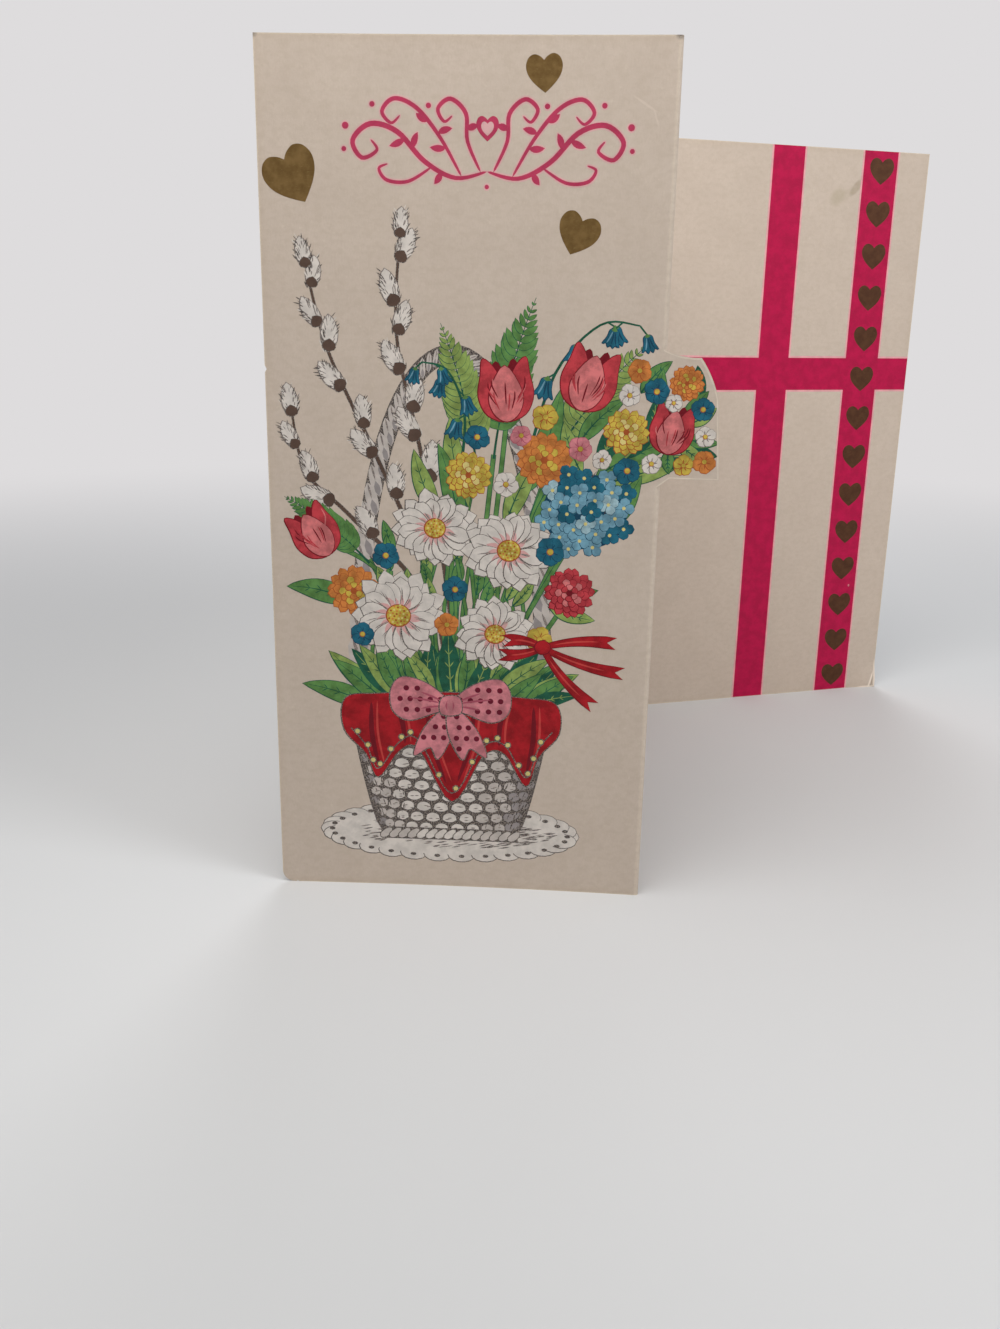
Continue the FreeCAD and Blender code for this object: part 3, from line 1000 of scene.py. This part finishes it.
def draw_willow(pen, points, catkins, seed):
    """A branch, bare up to a share of its length, then with catkins to both sides and at its tip."""
    pen.piece = "willow"
    rng = random.Random(seed)
    bare = 0.43
    path = through(points, False, 8)
    pen.line("pencil", path, tapering(1.5, 0.4))
    pen.line("bark", path, tapering(1.05, 0.3))
    for i in range(catkins):
        outward = i / (catkins - 1)
        index = min(int((bare + (1 - bare) * outward) * (len(path) - 1)), len(path) - 2)
        side = 0 if i == catkins - 1 else (26 if i % 2 else -26)
        length = rng.uniform(8.4, 10.2) * (1.0 - 0.22 * outward)
        draw_catkin(pen, path[index], path[index + 1] - path[index], side, length, rng)


def draw_handle(pen, centre, reach, high):
    """The basket's tall arched handle: slanted wrappings over a dark core."""
    pen.piece = "handle"
    strands = 46
    half = 1.75
    arch = []
    for i in range(strands + 1):
        turn = math.pi * i / strands
        up = centre[1] + high * math.sin(turn) ** 0.82
        arch.append(Vector((centre[0] - reach * math.cos(turn), up)))
    pen.line("pencil", arch, even(4.3))
    for here, there in zip(arch, arch[1:]):
        length = (there - here).length
        ahead = (there - here).normalized()
        aside = Vector((-ahead.y, ahead.x)) * half
        first = here - aside - ahead * length * 0.3
        last = there + aside + ahead * length * 0.3
        wrap = [first.lerp(last, i / 6) for i in range(7)]
        pen.line("wicker", wrap, lens(length * 0.62, 1.0, 0.4))
        pen.line("shade_grey", wrap[:4], brush(length * 0.34))
        pen.line("soft_pencil", wrap[3:], brush(length * 0.12))


def draw_twist(pen, centre, up, wide, thick):
    """A level row of twisted wicker, palest left of its middle."""
    core = [Vector((centre + side * wide / 2, up)) for side in (-1, 1)]
    pen.line("pencil", core, even(thick + 0.5))
    count = int(wide / 2.3)
    for i in range(count):
        left = centre - wide / 2 + wide * i / count
        strand = ((-0.2, -thick * 0.42), (1.2, -0.2), (2.7, thick * 0.42))
        twist = through([(left + x, up + y) for x, y in strand], False, 3)
        tone = "petal_white" if 0.2 < i / count < 0.62 else "wicker"
        pen.outlined(tone, ribbon(twist, lens(1.8, 1.0, 0.5)), "pencil", 0.22)


def draw_basket(pen, centre, foot, rim, low, high):
    """A wicker basket: rows of woven strands over a dark ground, darker towards its sides."""
    pen.piece = "basket"
    rng = random.Random(5)
    bulge = 1.35
    rows = 11
    cells = 12
    step = (high - low) / rows

    def half_at(up):
        share = (up - low) / (high - low)
        return foot / 2 + (rim - foot) / 2 * share**0.7

    def round_side(middle):
        return math.sin(middle * bulge) / math.sin(bulge)

    body = [(centre + half_at(up), up) for up in spread(low, high, 3)]
    body += [(centre - half_at(up), up) for up in reversed(spread(low, high, 3))]
    pen.add("pencil", swollen(body, 0.5))
    for row in range(rows):
        up = low + (row + 0.5) * step
        for cell in range(-1, cells + 1):
            middle = (cell + 0.5 + 0.5 * (row % 2)) / cells * 2 - 1
            if abs(middle) > 0.99:
                continue
            narrow = math.cos(middle * bulge) * 0.9 + 0.12
            reach = half_at(up) * 2.25 / cells * narrow
            sag = -1.4 * (1 - middle * middle)
            where = Vector((centre + half_at(up) * round_side(middle), up + sag + 0.9))
            strand = []
            for i in range(7):
                rise = 0.55 * math.sin(math.pi * i / 6)
                strand.append(where + Vector((reach * (i / 6 - 0.5), rise)))
            shadow = abs(middle + 0.12)
            tone = "petal_white" if shadow < 0.4 else "wicker" if shadow < 0.72 else "shade_grey"
            pen.line(tone, strand, lens(step * 0.86, 1.0, 0.45))
            for _ in range(2):
                at = strand[rng.randrange(1, 5)] + Vector((0, rng.uniform(-0.7, 0.3)))
                pen.stroke("soft_pencil", at, 4, reach * 0.35, 0.28)
    for _ in range(300):
        middle = rng.choice((-1, 1)) * (1 - 0.62 * rng.random() ** 1.5)
        up = rng.uniform(low + 1, high)
        at = (centre + half_at(up) * round_side(middle) * 0.98, up)
        length = rng.uniform(1.0, 2.6)
        width = rng.uniform(0.18, 0.34)
        pen.stroke("pencil", at, 90 - middle * 34, length, width, middle * 12)
    draw_twist(pen, centre, high + 0.4, rim + 2.4, 3.4)
    draw_twist(pen, centre, low - 0.2, foot + 1.6, 2.8)


def draw_cloth(pen):
    """A red cloth that hangs over the front of the rim in three points."""
    pen.piece = "cloth"
    edge = (
        (17.5, 51.2), (17.0, 43.0), (22.5, 36.5), (25.5, 30.2), (31.0, 37.5), (36.0, 38.2), (44.5, 24.0),
        (52.5, 37.0), (58.0, 37.5), (63.5, 29.0), (66.5, 37.0), (71.5, 43.5), (70.5, 51.2), (62.0, 52.6),
        (44.0, 53.4), (26.0, 52.6),
    )
    pen.outlined("red", through(edge, True, 5), "pencil", 0.32)
    for top, bottom, bend in (
        ((24, 50.5), (25.8, 33.0), -0.8),
        ((30, 50.8), (32.5, 39.5), 0.6),
        ((38, 51.0), (43.0, 29.0), -1.2),
        ((50, 51.0), (46.0, 29.5), 1.2),
        ((58, 50.8), (56.5, 39.5), -0.6),
        ((65, 50.4), (63.6, 32.5), 0.8),
    ):
        middle = (Vector(top) + Vector(bottom)) / 2 + Vector((bend, 0))
        fold = through((top, middle, bottom))
        pen.line("dark_red", fold, brush(1.3))
        pen.line("light_red", [point + Vector((1.5, 0.3)) for point in fold], brush(0.6))
    hem = through(edge[1:12], False, 8)
    lifted = [point + Vector((0, 2.3)) for point in hem][3:-3]
    pen.line("pencil", lifted, even(0.34))
    for i in range(2, len(lifted) - 2, 4):
        loop = disc(lifted[i] + Vector((0, 0.95)), 0.75, 12)
        pen.add("pencil", swollen(loop, 0.16))
        pen.add("pale_yellow", swollen(loop, -0.16))


def draw_bow(pen, centre, size):
    """A pink bow with maroon dots, its loops to the sides and its tails below."""
    pen.piece = "bow"
    pitch = 2.9
    for shape in (BOW_TAIL, mirrored(BOW_TAIL), BOW_LOOP, mirrored(BOW_LOOP)):
        outline = placed(through(shape, True, 6), centre, size, size * 0.92)
        pen.outlined("pink", outline, "pencil", 0.3)
        alongs = [point.x for point in outline]
        ups = [point.y for point in outline]
        for row, up in enumerate(spread(min(ups), max(ups), pitch)):
            for along in spread(min(alongs) - pitch / 2 * (row % 2), max(alongs), pitch):
                dot = disc((along, up), 0.72, 12)
                if all(holds(outline, point) for point in swollen(dot, 0.25)):
                    pen.add("maroon", dot)
    for side in (-1, 1):
        for angle, reach in ((14, 0.56), (28, 0.42), (-4, 0.36)):
            heading = angle if side > 0 else 180 - angle
            start = Vector(centre) + unit(math.radians(heading)) * 2.2
            pen.stroke("deep_pink", start, heading, size * reach, 0.55, -side * 10, 6)
    pen.outlined("pink", placed(through(BOW_KNOT, True, 5), centre, size, size), "pencil", 0.3)
    for across in (-0.05, 0.04):
        crease = placed(((across, 0.1), (across * 1.4, 0.0), (across, -0.1)), centre, size, size)
        pen.line("deep_pink", crease, brush(0.45))


def draw_red_ribbon(pen, knot):
    """A narrow red ribbon tied to the handle, with its ends flying out."""
    pen.piece = "red_ribbon"
    for angle, length, bend in ((18, 17, -24), (-28, 20, 22), (-62, 19, 26), (150, 9, 40), (208, 10, -30)):
        path = spine(knot, angle, length, bend, 12)
        tip = path[-1]
        ahead = (tip - path[-2]).normalized()
        across = Vector((-ahead.y, ahead.x))
        outline = ribbon(path, lambda share: 0.55 + 0.95 * share)
        forked = [tip - across * 1.5 + ahead * 1.2, tip - ahead * 1.1, tip + across * 1.5 + ahead * 1.2]
        outline[len(path) - 1 : len(path) + 1] = forked
        pen.outlined("red", outline, "dark_red", 0.2)
        pen.line("light_red", path[2:-2], brush(0.45))
    pen.outlined("red", disc(knot, 1.9, 14, 0.9), "dark_red", 0.25)


def draw_mat(pen, centre, reach, high):
    """A scalloped round mat under the basket, seen at a slant, with pencilled shade on it."""
    pen.piece = "mat"
    rng = random.Random(31)
    scallops = [math.tau * i / 30 for i in range(30)]
    turns = spread(0, math.tau, 0.1)
    inner = (reach - 3, high - 1.3)
    for turn in scallops:
        scallop = disc(oval(centre, turn, reach, high), 3.5, 14, 0.55)
        pen.outlined("petal_white", scallop, "pencil", 0.2)
    pen.add("petal_white", [oval(centre, turn, reach, high) for turn in turns[:-1]])
    for turn in scallops:
        pen.add("pencil", disc(oval(centre, turn, reach + 0.6, high + 0.4), 0.8, 8, 0.6))
    pen.line("soft_pencil", [oval(centre, turn, *inner) for turn in turns], even(0.3))
    for _ in range(420):
        turn = rng.uniform(0, math.tau)
        share = math.sqrt(rng.random()) * 0.94
        where = oval(centre, turn, inner[0] * share, inner[1] * share)
        if rng.random() > 0.3 + 0.7 * smooth_step(where.x, centre[0] - 10, centre[0] + 22):
            continue
        tone = "pencil" if rng.random() < 0.5 else "soft_pencil"
        pen.stroke(tone, where, 8, rng.uniform(1.6, 3.4), rng.uniform(0.2, 0.4), 6)


def draw_flourish(pen, centre):
    """A scrolled vine, the same to both sides, in thin rose lines with a pale halo."""
    pen.piece = "flourish"
    centre = Vector(centre)
    heart = centre + Vector((0, 3.2))
    foot_scroll = (
        (0, -5.6), (7, -7.0), (14, -3.6), (20, 2.4), (26, 4.0), (30, 0.6), (28, -3.0), (24.6, -1.4),
        (26, 0.8),
    )
    high_scroll = ((5.6, -6.8), (10.4, 1.2), (15.6, 7.2), (20.6, 9.2), (23.4, 6.6), (21.4, 4.2), (19.4, 5.8))
    inner_scroll = ((1.4, -5.8), (4.4, 0.6), (4.8, 6.2), (8.2, 9.2), (11.0, 7.2), (9.6, 4.6), (7.8, 5.8))
    low_curl = ((12.4, -4.8), (17.6, -7.8), (22.4, -7.6), (24.2, -5.2), (22.2, -4.2))
    leaves = (
        (16.6, -1.0, 96, 3.6), (18.4, 1.0, -36, 3.8), (11.0, 2.2, 150, 3.4), (9.2, -0.8, -10, 3.6),
        (4.6, 3.0, 150, 2.8), (10.2, -5.8, -70, 3.0), (13.2, 4.6, 20, 3.2),
    )
    dots = ((31.6, 3.6, 0.75), (32.0, -1.2, 0.55), (13.1, 7.8, 0.6), (0.0, -8.8, 0.5), (25.6, 8.0, 0.6))
    lines = []
    for side in (-1, 1):
        for points, width in (
            (foot_scroll, 1.15), (high_scroll, 0.95), (inner_scroll, 0.95), (low_curl, 0.8),
        ):
            path = through([centre + Vector((side * x, y)) for x, y in points])
            lines.append(ribbon(path, lens(width, 0.8, 0.4)))
        for x, y, angle, length in leaves:
            heading = angle if side > 0 else 180 - angle
            leaf = spine(centre + Vector((side * x, y)), heading, length, side * 24, 6)
            lines.append(ribbon(leaf, lens(1.5, 0.9, 0.8)))
        for x, y, size in dots:
            lines.append(disc(centre + Vector((side * x, y)), size, 12))
    lines.append(heart_outline(heart, 5.0, 5.2))
    for line in lines:
        pen.add("flourish_halo", swollen(line, 0.32))
    for line in lines:
        pen.add("flourish", line)
    pen.add("flourish_halo", heart_outline(heart, 2.8, 2.9))


def print_page(inks):
    """Magenta ribbons that cross the whole page, two of them with a column of gold hearts."""
    trim = box_outline(PAGE_START + 0.3, PRINT_MARGIN, PAGE_EDGE - PRINT_MARGIN, HEIGHT - PRINT_MARGIN)
    page = Print(inks, PAGE_EDGE, [trim], False)
    page.piece = "page_bands"
    halo = 0.65
    band_low, band_high = 119.1, 130.7
    for wider, ink in ((halo, "halo"), (0.0, "magenta")):
        page.add(ink, box_outline(-PAGE_WIDTH, band_low - wider, 0, band_high + wider))
        for middle, width in ((-20.2, 14.0), (-57.7, 12.4), (-119.1, 14.0)):
            half = width / 2 + wider
            page.add(ink, box_outline(middle - half, 0, middle + half, HEIGHT))
    first_heart, heart_pitch = 50.05, 14.61
    page.piece = "page_hearts"
    for middle in (-19.6, -118.5):
        for row in range(-3, 11):
            centre = (middle, first_heart + heart_pitch * row)
            page.add("brown_gold", heart_outline(centre, 10.0, 9.0))
    chip = disc((-16.0, 43.0), 0.4, 9, 1.3)
    page.piece = "page_bands"
    page.add("pink", chip)
    page.build(PAGE_GRID)


def draw_bouquet(pen):
    """Everything that grows out of the basket, from the back to the front."""
    draw_willow(pen, ((44, 56), (38, 84), (26, 112), (15, 136), (10, 156)), 8, 1)
    draw_willow(pen, ((46, 56), (42, 88), (36, 116), (31, 140), (32, 163)), 8, 2)
    draw_willow(pen, ((42, 56), (36, 80), (19, 98), (9, 108), (6, 122)), 5, 3)
    for points in (
        ((47, 56), (51, 84), (54, 113)),
        ((50, 56), (60, 88), (68, 113)),
        ((45, 56), (46, 86), (50, 111)),
        ((40, 56), (30, 76), (24, 87)),
        ((49, 56), (54, 92), (57, 122)),
        ((52, 56), (62, 94), (74, 126)),
        ((54, 56), (72, 92), (86, 111), (94, 116)),
        ((38, 56), (28, 82), (14, 91)),
        ((46, 56), (44, 84), (48, 106)),
        ((55, 56), (71, 92), (84, 118)),
        ((53, 56), (66, 80), (76, 98)),
        ((56, 56), (66, 68), (73, 79)),
        ((36, 56), (28, 68), (20, 79)),
    ):
        draw_stem(pen, points)
    draw_fern(pen, (54, 112), 84, 38, -16, "leaf", 4)
    draw_fern(pen, (68, 112), 62, 34, -20, "lime", 5)
    draw_fern(pen, (50, 110), 98, 34, 14, "lime", 6)
    draw_fern(pen, (24, 86), 132, 26, 20, "leaf", 7)
    for row in (
        ((81, 107), 16, 21, 4.8, 8, "lime"),
        ((78, 108), 38, 24, 5.0, -24, "leaf"),
        ((62, 104), 66, 26, 5.6, 14, "leaf"),
        ((48, 100), 112, 22, 5.4, -20, "lime"),
        ((20, 76), 152, 17, 5.4, 30, "leaf"),
        ((57, 96), 74, 19, 4.8, -18, "lime"),
        ((63, 95), 50, 22, 5.2, 16, "leaf"),
        ((46, 94), 96, 22, 5.0, 16, "leaf"),
        ((41, 98), 122, 17, 4.6, -22, "lime"),
        ((74, 116), 60, 15, 4.2, -30, "leaf"),
        ((84, 97), 74, 13, 4.0, -14, "leaf"),
        ((75, 109), 122, 13, 4.2, -22, "lime"),
        ((79, 110), 76, 15, 4.2, -16, "deep_green"),
        ((85, 113), 44, 13, 4.0, 26, "deep_green"),
        ((90, 117), 70, 10, 3.4, 24, "deep_green"),
        ((101, 126), 84, 8.4, 3.0, 18, "deep_green"),
        ((88, 128), 62, 10, 3.4, -30, "leaf"),
        ((100, 115.4), -18, 6.4, 2.8, 10, "deep_green"),
        ((94, 112.4), -10, 8, 2.8, 14, "deep_green"),
        ((98, 121), 64, 9.5, 3.2, -18, "leaf"),
        ((99, 121), 22, 7.6, 3.0, 20, "lime"),
        ((98, 118), -14, 8.6, 3.0, 14, "leaf"),
        ((97, 117), -44, 8.4, 3.0, 22, "lime"),
        ((93, 124), 104, 9.6, 3.2, -26, "leaf"),
        ((95, 115), -96, 5.4, 2.8, 20, "leaf"),
        ((67, 80), -8, 13, 4.2, 24, "leaf"),
        ((68, 77), -30, 12, 4.0, 24, "lime"),
    ):
        draw_leaf(pen, *row)
    draw_bell_spray(pen, ((62, 112), (68, 132), (78, 143), (87, 143)), 6, 5.2)
    draw_bell_spray(pen, ((46, 108), (47, 122), (43, 132), (37, 134)), 5, 4.8)
    draw_tulip(pen, (57, 121), 13.5, 4, 8)
    draw_tulip(pen, (74, 124), 13.5, -16, 9)
    draw_tulip(pen, (94.6, 114.4), 10.6, -10, 10)
    draw_tulip(pen, (14, 88), 12.0, 32, 11)
    draw_pompom(pen, (66, 112), 6.6, ORANGES, 12)
    draw_pompom(pen, (85, 119), 5.4, YELLOWS, 13)
    draw_pompom(pen, (98.4, 130.4), 4.0, ORANGES, 14)
    draw_pompom(pen, (48, 108), 5.6, YELLOWS, 15)
    draw_hydrangea(pen, (76, 100), 11.0, 30, 16)
    draw_foliage(pen)
    draw_daisy(pen, (40, 95), 10.5, 17)
    draw_pompom(pen, (20, 79), 6.4, ORANGES, 18)
    draw_daisy(pen, (58, 90), 11.5, 19)
    draw_pompom(pen, (73, 80), 6.2, REDS, 20)
    draw_daisy(pen, (31, 73), 12.5, 21)
    draw_daisy(pen, (55, 69), 10.5, 22)
    for centre, radius, tone in (
        ((68, 90), 3.6, "teal"),
        ((85.6, 110), 3.2, "teal"),
        ((91.2, 111.8), 2.5, "petal_white"),
        ((102.4, 124.6), 2.7, "teal"),
        ((103.3, 118.4), 2.4, "petal_white"),
        ((103.4, 112.6), 2.7, "orange"),
        ((98.6, 111.6), 2.4, "yellow"),
        ((91.6, 128.4), 3.0, "teal"),
        ((95.6, 125.9), 2.0, "petal_white"),
        ((50, 117), 3.0, "teal"),
        ((66, 122), 3.1, "yellow"),
        ((87.4, 133.0), 2.8, "orange"),
        ((85.4, 127.4), 2.6, "petal_white"),
        ((57, 106), 3.0, "petal_white"),
        ((74.4, 114.8), 2.9, "pink"),
        ((79.6, 112.4), 2.3, "petal_white"),
        ((60.4, 117.6), 2.5, "pink"),
        ((28, 88), 3.2, "teal"),
        ((45, 80), 3.2, "teal"),
        ((43, 71), 3.0, "orange"),
        ((66, 68), 3.2, "yellow"),
        ((22, 68), 3.0, "teal"),
    ):
        draw_blossom(pen, centre, radius, tone, round(centre[0] * centre[1]))


def draw_foliage(pen):
    """The mass of leaves and stalks that fills the basket's mouth."""
    rng = random.Random(40)
    for i in range(26):
        share = i / 25
        base = (24 + 40 * share, 50)
        top = (30 + 28 * share + rng.uniform(-4, 4), 74 + rng.uniform(0, 16))
        middle = (Vector(base) + Vector(top)) / 2 + Vector((rng.uniform(-2, 2), 0))
        draw_stem(pen, (base, middle, top), 0.7)
        angle = 84 - 50 * (share - 0.5) + rng.uniform(-18, 18)
        tone = "lime" if i % 2 else "leaf"
        draw_leaf(pen, top, angle, rng.uniform(6, 9), 2.8, rng.uniform(-20, 20), tone)
    for i in range(34):
        share = (i * 7 % 34) / 33
        base = (25 + 38 * share, 49 + rng.uniform(0, 4))
        angle = 148 - 116 * share + rng.uniform(-16, 16)
        tone = ("leaf", "lime", "deep_green")[i % 3]
        length = rng.uniform(13, 20)
        draw_leaf(pen, base, angle, length, length * 0.27, rng.uniform(-26, 26), tone)


def print_cover(inks):
    """Three gold hearts, a flourish and a basket of flowers that runs out over the tab."""
    trim_cover = box_outline(COVER_EDGE + PRINT_MARGIN, PRINT_MARGIN, -0.05, HEIGHT - PRINT_MARGIN)
    trim_tab = [(-0.3, TAB_FOOT)] + tab_outline(0.08)
    cover = Print(inks, COVER_EDGE, [trim_cover, trim_tab], True)
    cover.piece = "cover_hearts"
    for centre, width, height, tilt in (
        ((7.85, 173.8), 12.2, 11.8, 27),
        ((63.8, 195.4), 8.0, 7.8, 4),
        ((72.1, 162.4), 9.5, 9.0, -20),
    ):
        cover.add("gold", heart_outline(centre, width, height, tilt))
    draw_flourish(cover, (51.5, 181.0))
    draw_mat(cover, (44, 15.5), 30, 6.5)
    draw_handle(cover, (44, 48), 23, 88)
    draw_bouquet(cover)
    draw_basket(cover, 44, 34, 50, 15, 47)
    draw_cloth(cover)
    draw_bow(cover, (44, 50), 15)
    draw_red_ribbon(cover, (66.8, 66))
    # A pale line just inside the tab's cut outline: partly a painted highlight where the cut edge catches
    # the light, partly a paler rubbed edge.
    rim = [Vector((point.x - COVER_EDGE, point.y)) for point in tab_outline(0.22)]
    cover.piece = "tab_rim"
    cover.line("rubbed_edge_and_highlight", rim, even(0.42))
    cover.build(GRID)


# Inks that lie in washes, darker and lighter by turns. The others lie almost flat.
WASHED = (
    "rose", "rose_light", "teal", "sky", "pale_sky", "orange", "yellow", "leaf", "lime", "deep_green",
    "pink", "red",
)


def make_inks():
    """Each ink by its name: flat inks, inks that cover little, dry pencil, and gold."""
    inks = {}
    for ink, name, dark, pale, scratched in (
        ("gold", "antique_gold", (110, 84, 46), (134, 106, 64), (170, 144, 98)),
        ("brown_gold", "gold_over_magenta", (80, 50, 34), (94, 62, 42), (124, 84, 58)),
    ):
        inks[ink] = gold_material(name, srgb(*dark), srgb(*pale), srgb(*scratched))
    for name, colour in (
        ("magenta", (184, 14, 70)), ("red", (166, 25, 34)), ("dark_red", (116, 16, 30)),
        ("light_red", (196, 66, 62)), ("pink", (208, 128, 135)), ("deep_pink", (172, 82, 99)),
        ("maroon", (108, 20, 42)), ("rose", (190, 61, 69)), ("rose_light", (214, 119, 119)),
        ("teal", (32, 100, 122)), ("deep_teal", (20, 65, 89)), ("sky", (114, 160, 179)),
        ("pale_sky", (160, 190, 198)), ("orange", (204, 126, 62)), ("deep_orange", (166, 82, 40)),
        ("yellow", (200, 174, 72)), ("pale_yellow", (216, 200, 126)), ("leaf", (94, 138, 74)),
        ("lime", (142, 164, 88)), ("deep_green", (34, 90, 68)), ("bark", (92, 72, 62)),
        ("wicker", (196, 186, 178)), ("petal_white", (217, 208, 199)), ("shade_grey", (150, 142, 140)),
        ("flourish", (184, 58, 90)),
    ):
        shade = 0.14 if name in WASHED else 0.06
        inks[name] = ink_material(name, srgb(*colour), shade=shade)
    for name, colour, cover in (
        ("halo", (238, 160, 170), 0.8),
        ("flourish_halo", (230, 160, 170), 0.55),
        ("blush", (226, 138, 150), 0.5),
        # The tab's pale rim: partly painted highlight of its cut edge, partly rubbed board.
        ("rubbed_edge_and_highlight", (230, 216, 198), 0.62),
    ):
        inks[name] = ink_material(name, srgb(*colour), cover, 0.3)
    inks["pencil"] = pencil_material("pencil", srgb(48, 43, 47), 0.97)
    inks["soft_pencil"] = pencil_material("soft_pencil", srgb(92, 85, 88), 0.85)
    return inks


# The stage, in metres from here on: a pale floor and background, soft lamps, and the photo's view.
BACKGROUND = srgb(222, 220, 221)
FLOOR_TONE = srgb(214, 214, 214)
FLOOR_RADIUS = 3.0
FLOOR_SIDES = 96
FLOOR_MELTS = (0.22, 0.85)
WORLD_TONE = (0.95, 0.97, 1.0)
WORLD_STRENGTH = 0.31

# The view was fitted to the card's corners: degrees to the left of +Y, below the level, and rolled.
EYE = (-0.01255, -0.3862, 0.1461)
EYE_HEADING = 5.355
EYE_PITCH = 16.39
EYE_ROLL = 1.02
FOCAL_LENGTH_PIXELS = 1208
PHOTO_HEIGHT_PIXELS = 1329


def build_floor():
    """A pale floor that takes the card's shadow and melts into the background further out."""
    graph = Graph("floor")
    distance = graph.length(graph.node("TexCoord").outputs["Object"])
    graph.shader.inputs["Base Color"].default_value = (*FLOOR_TONE, 1)
    graph.shader.inputs["Roughness"].default_value = 0.9
    glow = graph.node("Emission", {"Color": (*BACKGROUND, 1), "Strength": 1.0})
    camera_ray = graph.node("LightPath").outputs["Is Camera Ray"]
    share = graph.times(graph.fade(distance, *FLOOR_MELTS), camera_ray)
    blend = graph.node("MixShader", {0: share, 1: graph.shader.outputs[0], 2: glow.outputs[0]})
    graph.feed(graph.tree.nodes["Material Output"].inputs["Surface"], blend.outputs[0])
    mesh = bpy.data.meshes.new("floor")
    rim = [(*(FLOOR_RADIUS * unit(math.tau * i / FLOOR_SIDES)), 0) for i in range(FLOOR_SIDES)]
    mesh.from_pydata(rim, [], [tuple(range(FLOOR_SIDES))])
    mesh.materials.append(graph.owner)
    floor = linked("floor", mesh)


def light_world():
    """Faint light from all round, and a plain pale background where the camera looks past the floor."""
    graph = Graph("studio", "worlds")
    bpy.context.scene.world = graph.owner
    camera_ray = graph.node("LightPath").outputs["Is Camera Ray"]
    shine = graph.node("Background", {"Color": (*WORLD_TONE, 1), "Strength": WORLD_STRENGTH})
    seen = graph.node("Background", {"Color": (*BACKGROUND, 1)})
    blend = graph.node("MixShader", {0: camera_ray, 1: shine.outputs[0], 2: seen.outputs[0]})
    graph.feed(graph.tree.nodes["World Output"].inputs[0], blend.outputs[0])


def add_lamp(name, place, aim, size, power, colour):
    """A soft round lamp that looks at its aim. Its power is in watts."""
    lamp = bpy.data.lights.new(name, "AREA")
    lamp.shape = "DISK"
    lamp.size = size
    lamp.energy = power
    lamp.color = colour
    holder = linked(name, lamp)
    holder.location = place
    holder.rotation_euler = (Vector(aim) - Vector(place)).to_track_quat("-Z", "Y").to_euler()


def make_camera():
    """The photograph's view. The lens is set from its focal length in the photo's own pixels."""
    camera = bpy.data.cameras.new("camera")
    camera.sensor_width = 36.0
    camera.lens = FOCAL_LENGTH_PIXELS / PHOTO_HEIGHT_PIXELS * camera.sensor_width
    camera.clip_start = 0.01
    heading = Matrix.Rotation(math.radians(EYE_HEADING), 4, "Z")
    pitch = Matrix.Rotation(math.radians(90 - EYE_PITCH), 4, "X")
    roll = Matrix.Rotation(math.radians(EYE_ROLL), 4, "Z")
    holder = linked("camera", camera)
    holder.matrix_world = Matrix.Translation(EYE) @ heading @ pitch @ roll
    bpy.context.scene.camera = holder


make_camera()
build_floor()
light_world()
for lamp_row in (
    ("key", (-0.08, -0.20, 0.46), (0, -0.05, 0.14), 0.30, 1.15, (1.0, 0.98, 0.95)),
    ("fill", (0.55, -0.34, 0.50), (0.05, 0.05, 0.14), 0.4, 2.3, (0.96, 0.98, 1.0)),
    ("back", (-0.05, 0.75, 0.62), (0, 0.05, 0.12), 0.5, 3.0, (0.98, 0.98, 1.0)),
):
    add_lamp(*lamp_row)
bpy.context.scene.view_settings.view_transform = "Standard"

build_sheet()
inks = make_inks()
print_page(inks)
print_cover(inks)
